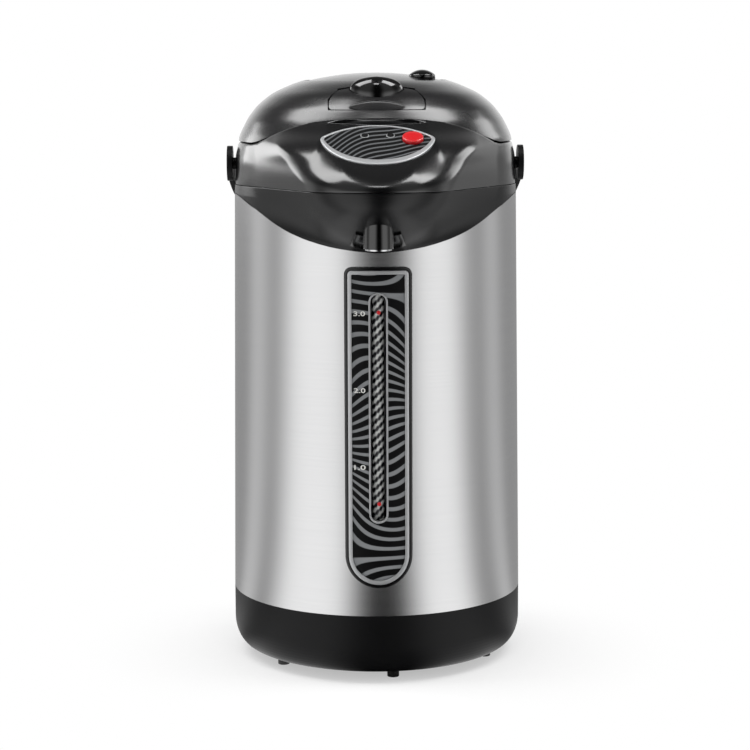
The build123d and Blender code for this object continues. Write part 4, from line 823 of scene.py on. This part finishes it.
def flap_plate():
    """Grip flap: rings of its plan shrunk towards the middle and laid on the dome, with a
    slanted edge, and a finger scoop (the lower half of an ellipsoid) near its front."""
    x = np.linspace(-FLAP_HALF, FLAP_HALF, 11)
    front = np.stack([x, -np.sqrt(FLAP_R ** 2 - x ** 2)], -1)
    rear = [(FLAP_HALF, -68.5), (25.5, -59.2), (-25.5, -59.2), (-FLAP_HALF, -68.5)]
    plan = rounded(np.concatenate([front, rear]), 2.4, 5)
    ring = np.concatenate([plan, plan[:1]])
    plan = along(ring, np.linspace(0, run_length(ring)[-1], 321)[:-1])
    middle = np.array([0.0, -70.0])

    def laid(share, drop, scoop):
        x, y = (middle + share * (plan - middle)).T
        depth = np.clip(1 - (x / 17.6) ** 2 - ((y + 78.3) / 3.3) ** 2, 0, 1) ** 0.5
        return xyz(x, y, dome_z(np.hypot(x, y)) + 0.05 - drop - scoop * depth)

    under = [laid(t, 1.9, 0.0) for t in np.linspace(0.02, 0.95, 12)]
    over = [laid(t, 0.0, 1.3) for t in (1.0, *np.linspace(0.992, 0.02, 70))]
    ob = grid_object("flap_skin", np.stack(under + over, 1), caps=("low", "high"))
    bite = lens((18.5, 60.5), 50.8, 72.7, 2.4)
    levels = [lens_level(bite, z) for z in (370.0, 410.0)]
    cutter = grid_object("cutter", np.stack(levels, 1), caps=("low", "high"))
    return smooth_by_angle(cut_with(ob, cutter), 28)


def lid_lip():
    """Front strip of the lid, from the flap's edge out to the rim: the dome over a short arc."""
    phi = np.radians(np.linspace(-26, 26, 105))[:, None]
    reach = np.linspace(LIP_R, 89.0, 300)[None, :]
    below = dome_z(reach) < lid_seam_z(-reach * np.cos(phi)) + LID_GAP
    rim = reach[0, np.argmax(below, axis=1)][:, None]
    share = np.linspace(0, 1, 26)[None, :]
    r = LIP_R + share * (rim - LIP_R)
    top = dome_z(r) + 0.04
    low = top - 1.6 * (1 - share) - 0.15
    r, z = np.concatenate([r, r[:, ::-1]], 1), np.concatenate([top, low[:, ::-1]], 1)
    points = turned(r, phi, z)
    nu, nv = points.shape[:2]
    faces = [list(f) for f in grid_faces(nu, nv, False, True)]
    faces += [list(range(nv)), [(nu - 1) * nv + i for i in range(nv)]]
    return smooth_by_angle(clean(mesh_object("lid_lip", points.reshape(-1, 3), faces)), 28)


def ball_cap(crown, half, rise, reach, count):
    """Meridian of a ball's cap, from its crown out to reach: rise high at half its width."""
    ball = (half ** 2 + rise ** 2) / (2 * rise)
    r = np.linspace(0.05, reach, count)
    return np.stack([r, crown - ball + np.sqrt(ball ** 2 - r ** 2)], -1).tolist()


def plate_top():
    """Domed press plate with a soft edge and its guiding skirt."""
    outline = [*ball_cap(402.4, 48.0, 5.8, 46.7, 24), (47.3, 396.7), (47.5, 396.1), (47.5, 393.6),
               (46.0, 393.6), (46.0, 382.1), (44.0, 382.1), (44.0, 393.0), (0.05, 393.0)]
    return revolve("plate_top", outline, 192)


def knob_dome():
    """Round lock knob, domed, with a soft edge."""
    outline = [*ball_cap(404.5, 9.0, 3.6, 8.5, 14), (8.9, 400.95), (9.0, 400.4), (9.0, 397.0),
               (0.05, 397.0)]
    return revolve("knob_dome", outline, 72, KNOB_SPOT)


def foot_pads(count=6, ring_r=81, first=6.8):
    """Rubber pegs with a softened foot, evenly spaced, as one mesh."""
    line = rounded([(0.05, 0.0), (4.0, 0.0), (4.0, 4.5), (0.05, 4.5)], 0.5, 5)
    angle = round_angles(40)
    verts, faces = [], []
    for k in range(count):
        turn = math.radians(first + 360 / count * k)
        x = ring_r * math.sin(turn) + line[:, 0] * np.cos(angle)
        y = -ring_r * math.cos(turn) + line[:, 0] * np.sin(angle)
        verts.append(xyz(x, y, line[:, 1]).reshape(-1, 3))
        faces += (grid_faces(len(angle), len(line), True, True) + k * x.size).tolist()
    return clean(mesh_object("foot_pads", np.concatenate(verts), faces))


# ---- finishes ----
def brushed_steel():
    """Stainless sheet, brushed round the body in faint level strokes."""
    mat, shader, place = finish_material("brushed_steel")
    strokes = noise(mat, stretched(mat, place, 14.0, 14.0, 1300.0), 1.0, 4.0, 0.6)
    cloud = noise(mat, place, 12.0, 3.0)
    rough = plus(mat, spread(mat, strokes, 0.23, 0.27), spread(mat, cloud, -0.02, 0.02))
    round_z = add(mat, "Tangent", {"direction_type": "RADIAL", "axis": "Z"}).outputs[0]
    feed(mat, shader, Base_Color=mixed(mat, strokes, "#c3c3c4", "#cccccc"), Metallic=1.0,
         Roughness=rough, Anisotropic=0.55, Tangent=round_z)
    bump(mat, shader, strokes, 2e-6, 0.5)
    return mat


def striped_print(name, field, period, share, dark, light):
    """Screen-printed foil: pale curved stripes on black, along the level lines of a field in
    metres. Each period carries a stripe, share says how much of it."""
    mat, shader, place = finish_material(name)
    edge = math.cos(math.pi * share)
    phase = wave(mat, "SINE", field(mat, place), period)
    band = add(mat, "MapRange", Value=phase, i1=edge - 0.16, i2=edge + 0.16).outputs[0]
    feed(mat, shader, Base_Color=mixed(mat, band, dark, light),
         Roughness=spread(mat, band, 0.42, 0.52), Specular_IOR_Level=0.16)
    bump(mat, shader, noise(mat, place, 500.0), 4e-6)
    return mat


def gauge_field(mat, place):
    """Height, bent by a bow in x and leaned, both of them swaying along the gauge."""
    x, z = axes(mat, place, "XZ")
    bow, lean = wave(mat, "SINE", z, 0.172), wave(mat, "COSINE", z, 0.118)
    bowed = times(mat, times(mat, x, x), times(mat, bow, 26.0))
    leaned = times(mat, x, times(mat, lean, 0.42))
    return plus(mat, z, plus(mat, bowed, leaned))


def panel_field(mat, place):
    """Distance from a point low on the right of the panel, with a slow ripple along x."""
    x, y = axes(mat, place, "XY")
    across, down = plus(mat, x, -0.031), plus(mat, y, 0.171)
    far = math_node(mat, "SQRT", plus(mat, times(mat, across, across), times(mat, down, down)))
    return plus(mat, far, times(mat, wave(mat, "SINE", x, 0.047), 0.0021))


def twisted_tube():
    """Glass sight tube: slanting bright and dark glints painted into its colour in crossed rows, a painted
    reflection.
    """
    mat, shader, place = finish_material("sight_glass")
    x, z = axes(mat, place, "XZ")
    rows = wave(mat, "SINE", math_node(mat, "SUBTRACT", z, x), 0.0056)
    cross = wave(mat, "SINE", plus(mat, z, times(mat, x, 7.0)), 0.0190)
    both = plus(mat, rows, times(mat, cross, 0.42))
    glint = add(mat, "MapRange", Value=both, i1=-0.9, i2=0.6).outputs[0]
    # Tones of the painted reflection, from dark streak to bright glint.
    tones = ((0.0, "#17181a"), (0.45, "#6a6b6d"), (0.8, "#cfd0d0"), (1.0, "#f0f0ee"))
    feed(mat, shader, Base_Color=ramp(mat, glint, tones), Roughness=0.12, Coat_Weight=0.6)
    bump(mat, shader, both, 8e-5)
    return mat


def clear_pane():
    """Acrylic pane: clear, with the faint waviness of a moulding."""
    mat, shader, place = finish_material("acrylic")
    feed(mat, shader, Base_Color=mixed(mat, noise(mat, place, 60.0), "#f6f8f8", "#ffffff"),
         Roughness=spread(mat, noise(mat, place, 90.0), 0.0, 0.05),
         Transmission_Weight=1.0, IOR=1.2, Alpha=0.10)
    return mat


HEAD = plastic("head_black", "#070708", "#0a0a0b", 0.20, 2e-6, 700.0, 0.5, 0.15)
LID = plastic("lid_black", "#101011", "#131314", 0.26, 2e-6, 700.0, 0.6, 0.20)
GLOSS = plastic("gloss_black", "#060606", "#090909", 0.12, 1e-6, 500.0, 0.5, 0.05)
BASE = plastic("base_black", "#0e0e0f", "#121213", 0.38, 6e-6, 1500.0, mirror=0.14)
BOWL = plastic("bowl_black", "#080809", "#0b0b0c", 0.25, 2e-6, 700.0, mirror=0.24)
SATIN = plastic("frame_black", "#060607", "#0a0a0b", 0.22, 3e-6, 900.0, 0.2, 0.1)
INNER = plastic("inner_plastic", "#2b2c2e", "#36373a", 0.42, 3e-5, 1200.0)
RED = plastic("red_plastic", "#cf0410", "#de0814", 0.30, 2e-6, 900.0, 0.4, 0.12)
LAMP = plastic("lamp_lens", "#0a0a0b", "#121213", 0.18, 2e-6, 900.0, 0.6, 0.04)
SILVER = metal("trim_silver", "#a9abad", "#d6d7d8", 0.24, 220.0, 3e-6)
PAINT = metal("silver_paint", "#b4b5b7", "#cdcecf", 0.38, 900.0, 1e-6, metallic=0.55)
BRIGHT = metal("bright_steel", "#b4b5b7", "#d9d9da", 0.16, 3.0, 2e-6, (4.0, 4.0, 120.0))
SHEET = metal("sheet_steel", "#9b9da0", "#c2c4c6", 0.30, 2.0, 3e-6, (8.0, 8.0, 300.0))
ALU = metal("cast_alu", "#8e9093", "#a9abad", 0.45, 500.0, 3e-5)
BRASS = metal("brass", "#a8863d", "#c9a559", 0.28, 300.0, 4e-6)
WIRE = metal("spring_steel", "#7d8084", "#a5a8ac", 0.28, 500.0, 4e-6)
RUBBER = plastic("rubber", "#101010", "#191919", 0.62, 5e-5, 1300.0)
SILICONE = plastic("silicone", "#b3b5b2", "#cfd0cc", 0.45, 2e-5, 800.0)
FELT = plastic("felt", "#1c1c1d", "#2a2a2b", 0.9, 0.0003, 1700.0)
CIRCUIT = plastic("circuit", "#123d26", "#1b5233", 0.38, 2e-5, 600.0, 0.3, 0.2)
MARK = plastic("mark_white", "#dcdcd8", "#eeeeea", 0.4, 1e-5, 900.0)
STEEL = brushed_steel()
GAUGE = striped_print("gauge_print", gauge_field, 0.0070, 0.36, "#08080a", "#8a8c8e")
PANEL = striped_print("panel_print", panel_field, 0.0040, 0.32, "#060607", "#636567")
GLASS = twisted_tube()
PANE = clear_pane()

SLOT_FINISH = {"steel": SHEET, "bright_steel": BRIGHT, "head_black": HEAD, "base_black": BASE,
               "trim_silver": SILVER, "panel_black": SATIN, "red": RED, "clear": GLASS, "lamp": LAMP,
               "rubber": RUBBER, "silicone": SILICONE, "inner_plastic": INNER, "felt": FELT,
               "circuit": CIRCUIT, "brass": BRASS, "spring": WIRE, "cast_alu": ALU}
for entry in frame["record"]["subparts"]:
    part, finish = NODES[entry["node"]], SLOT_FINISH[entry["material_slot"]]
    if not part.data.materials:
        part.data.materials.append(finish)
    for place in part.material_slots:
        place.material = finish

# The trim behind the spout is gloss black like the sleeve.
NODES["spout_escutcheon"].material_slots[0].material = GLOSS


# ---- the visible pieces ----
def stand_for(ob, body, slot, finish, *nodes):
    """Finish and body of a new piece, and the CAD nodes that it stands for, which it hides. slot is not
    used.
    """
    ob.data.materials.clear()
    ob.data.materials.append(finish)
    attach(ob, body)
    if nodes:
        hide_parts(*nodes)
    return ob


def squeezed(node, name, slot, finish):
    """Smooth copy of a springy piece on the lid, with a mesh of its own; the real piece flattens towards
    its foot as the press plate goes down, but the copy keeps its shape.
    """
    ob = stand_for(smooth_copy(node, name), "lid", slot, finish, node)
    heights = read_all(ob.data.vertices, "co", 3)[:, 2]
    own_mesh(ob)


stand_for(steel_body(), "pot", "steel", STEEL, "outer_shell")
stand_for(head_shell("head_bowl", lower_outline, 360), "pot", "head_black", BOWL, "head_lower_shell")
stand_for(head_shell("head_crown", upper_outline, 480), "pot", "head_black", HEAD, "head_upper_shell")
stand_for(gauge_ring("gauge_surround", [(0.0, -0.3), (0.0, 2.5), (2.3, 2.5), (2.3, -0.3)]),
          "pot", "panel_black", SATIN, "gauge_frame")
stand_for(gauge_ring("gauge_trim", [(2.3, -0.3), (2.3, 3.0), (4.8, 3.0), (4.8, -0.3)]),
          "pot", "trim_silver", PAINT, "gauge_bezel")
stand_for(gauge_plate(), "pot", "panel_black", GAUGE, "gauge_face")
stand_for(slot_rim(), "pot", "trim_silver", PAINT)
stand_for(window_pane(), "pot", "clear", PANE, "gauge_window")
for words, level in (("1.0", 146.9), ("2.0", 197.8), ("3.0", 248.2)):
    stand_for(flat_text("level_" + words[0], words, 3.2, 7.6, -12.3, level, 1.62), "pot", "lamp", MARK)
for name, level, nodes in (("low_dot", 122.4, ["level_marks"]), ("full_dot", 248.9, [])):
    stand_for(dot_mark(name, 0.3, level, 1.35, -steel_r(level) - 1.15), "pot", "red", RED, *nodes)
sleeve, lip = spout_pieces()
stand_for(sleeve, "pot", "bright_steel", GLOSS, "spout_tube")
stand_for(lip, "pot", "bright_steel", BRIGHT)
stand_for(panel_rim(), "pot", "trim_silver", PAINT, "panel_bezel")
stand_for(panel_plate(), "pot", "panel_black", PANEL, "panel_face")
red_line = [(6.9, -2.4), (6.9, 1.5), (6.6, 2.1), (6.1, 2.38), (3.0, 2.4)]
stand_for(panel_drum("dispense_cap", RED_X, RED_S, red_line), "dispense", "red", RED, "dispense_button")
stand_for(plate_top(), "plate", "head_black", LID, "press_plate")
stand_for(knob_dome(), "plate", "head_black", GLOSS, "lock_knob")
stand_for(foot_pads(), "swivel", "rubber", RUBBER, "feet")
lid_skin = shade_as_dome(smooth_copy("lid_cover", "lid_skin"))
stand_for(lid_skin, "lid", "head_black", LID, "lid_cover")
stand_for(lid_lip(), "lid", "head_black", LID)
stand_for(flap_plate(), "flap", "head_black", LID, "grip_flap")
stand_for(button_dome(), "button", "head_black", GLOSS, "release_button")
for name, x in (("ring_left", -LAMP_X), ("ring_right", LAMP_X)):
    stand_for(lamp_ring(name, x, LAMP_S), "pot", "trim_silver", PAINT)
stand_for(smooth_copy("handle_bail", "carry_bail", 0.5), "handle", "base_black", BASE, "handle_bail")
squeezed("pump_bellows", "bellows_skin", "silicone", SILICONE)
squeezed("bellows_spring", "bellows_coil", "spring", WIRE)


# ---- stage ----
# Upright light strips of the room: bearing, half width and fade in degrees, and strength.
STRIPS = ((-46.0, 15.0, 27.0, 1.05), (-108.0, 3.0, 15.0, 0.45), (47.0, 9.0, 26.0, 1.05),
          (105.0, 2.0, 14.0, 0.40))
WHITE = (1.0, 1.0, 1.0, 1.0)


def surround(tree, direction):
    """Brightness of the room by compass direction: a grey wall with a dark gap in front, and
    the upright light strips."""
    x, y = axes(tree, direction, "XY")
    bearing = math_node(tree, "ARCTAN2", x, times(tree, y, -1.0))

    def near(centre, core, fade, inside, outside):
        """One value within core degrees of a bearing, another beyond the fade."""
        off = math_node(tree, "ABSOLUTE", plus(tree, bearing, -math.radians(centre)))
        return smooth_step(tree, off, math.radians(core), math.radians(core + fade), inside, outside)

    total = near(3.0, 9.0, 28.0, 0.01, 0.40)
    for centre, core, fade, strength in STRIPS:
        total = plus(tree, total, near(centre, core, fade, strength, 0.0))
    return total


def rays(tree):
    """Whether a ray is a reflection, and whether it comes from the eye, also through glass."""
    path = add(tree, "LightPath")
    eye = math_node(tree, "MAXIMUM", path.outputs["Is Camera Ray"], path.outputs["Is Transmission Ray"])
    return path.outputs["Is Glossy Ray"], eye


def backdrop(half=9000):
    """Pale floor: lit and shadowed near the pot, plain white further out, and the room in
    reflections."""
    corners = [(-half, -half, 0), (half, -half, 0), (half, half, 0), (-half, half, 0)]
    ob = mesh_object("floor", corners, [[0, 1, 2, 3]], smooth=False)
    mat, shader, place = finish_material("floor_white")
    feed(mat, shader, Base_Color=mixed(mat, noise(mat, place, 3.0), "#fafafa", "#ffffff"),
         Roughness=0.6, Specular_IOR_Level=0.0)
    reach = add(mat, "VectorMath", {"operation": "LENGTH"}, i0=place).outputs["Value"]
    far = smooth_step(mat, reach, 0.06, 0.22, 0.45, 1.0)
    glossy, eye = rays(mat)

    def blend(factor, first, second):
        return add(mat, "MixShader", i0=factor, i1=first, i2=second).outputs[0]

    white = add(mat, "Emission", Color=WHITE, Strength=1.0).outputs[0]
    room = add(mat, "Emission", Color=WHITE, Strength=surround(mat, place)).outputs[0]
    seen = blend(far, shader.outputs[0], white)
    plain = blend(glossy, shader.outputs[0], room)
    out = next(node for node in mat.node_tree.nodes if node.type == "OUTPUT_MATERIAL")
    feed(mat, out, Surface=blend(eye, plain, seen))
    ob.data.materials.append(mat)


def softbox(name, place, aim, size, power):
    """Rectangular area lamp; place and aim in metres, power in watts."""
    lamp = bpy.data.lights.new(name, "AREA")
    lamp.shape = "RECTANGLE"
    lamp.size, lamp.size_y = size
    lamp.energy = power
    ob = new_object(name, lamp)
    ob.location = place
    ob.rotation_euler = (Vector(aim) - Vector(place)).to_track_quat("-Z", "Y").to_euler()


def studio_world():
    """White room for the eye. Reflections show the wall and its strips, darker higher up, and a
    soft glow behind the pot; matt surfaces get an even dim light."""
    world = bpy.data.worlds.new("studio")
    bpy.context.scene.world = world
    world.use_nodes = True
    world.node_tree.nodes.clear()
    direction = add(world, "TexCoord").outputs["Generated"]
    back, up = axes(world, direction, "YZ")
    glossy, eye = rays(world)
    behind = times(world, smooth_step(world, back, 0.60, 0.92, 0.0, 0.75),
                   smooth_step(world, up, 0.30, 0.80, 1.0, 0.3))
    wall = times(world, surround(world, direction), smooth_step(world, up, 0.10, 0.45, 1.0, 0.25))
    wall = plus(world, wall, behind)

    def blend(factor, first, second):
        return add(world, "Mix", {"data_type": "FLOAT"}, i0=factor, i2=first, i3=second).outputs[0]

    strength = blend(eye, blend(glossy, 0.40, wall), 1.0)
    room = add(world, "Background", Color=WHITE, Strength=strength).outputs[0]
    add(world, "OutputWorld", Surface=room)


def main_camera(away=1.48, height=0.41385, yaw=0.9, pitch=8.478, roll=0.0036):
    """Camera level with the lid, slightly from the left and looking a little down. Distances in
    metres, yaw and pitch in degrees, roll in radians; the lens is in millimetres."""
    data = bpy.data.cameras.new("eye")
    ob = new_object("eye", data)
    yaw, pitch = math.radians(yaw), math.radians(pitch)
    data.lens = 102.85
    data.sensor_width = 36.0
    data.shift_x = -1.0 / 750.0
    ob.location = (-away * math.sin(yaw), -away * math.cos(yaw), height)
    turns = [Euler(turn).to_matrix() for turn in ((0, 0, -yaw), (math.pi / 2 - pitch, 0, 0), (0, 0, -roll))]
    ob.rotation_euler = (turns[0] @ turns[1] @ turns[2]).to_euler()
    bpy.context.scene.camera = ob


backdrop()
studio_world()
for lamp in (("over_left", (-0.80, 0.02, 1.72), (-0.03, -0.08, 0.36), (0.70, 1.05), 15.0),
             ("over_right", (0.80, -0.10, 1.72), (0.03, -0.08, 0.36), (0.62, 0.85), 12.5),
             ("top", (0.0, -0.70, 1.75), (0.0, -0.08, 0.38), (0.40, 0.20), 2.0),
             ("side_left", (-1.30, 0.92, 0.62), (-0.05, -0.05, 0.34), (0.6, 0.6), 4.0),
             ("side_right", (1.30, 0.70, 0.92), (0.05, -0.05, 0.34), (0.5, 0.6), 3.4)):
    softbox(*lamp)
main_camera()
bpy.context.scene.view_settings.view_transform = "Standard"
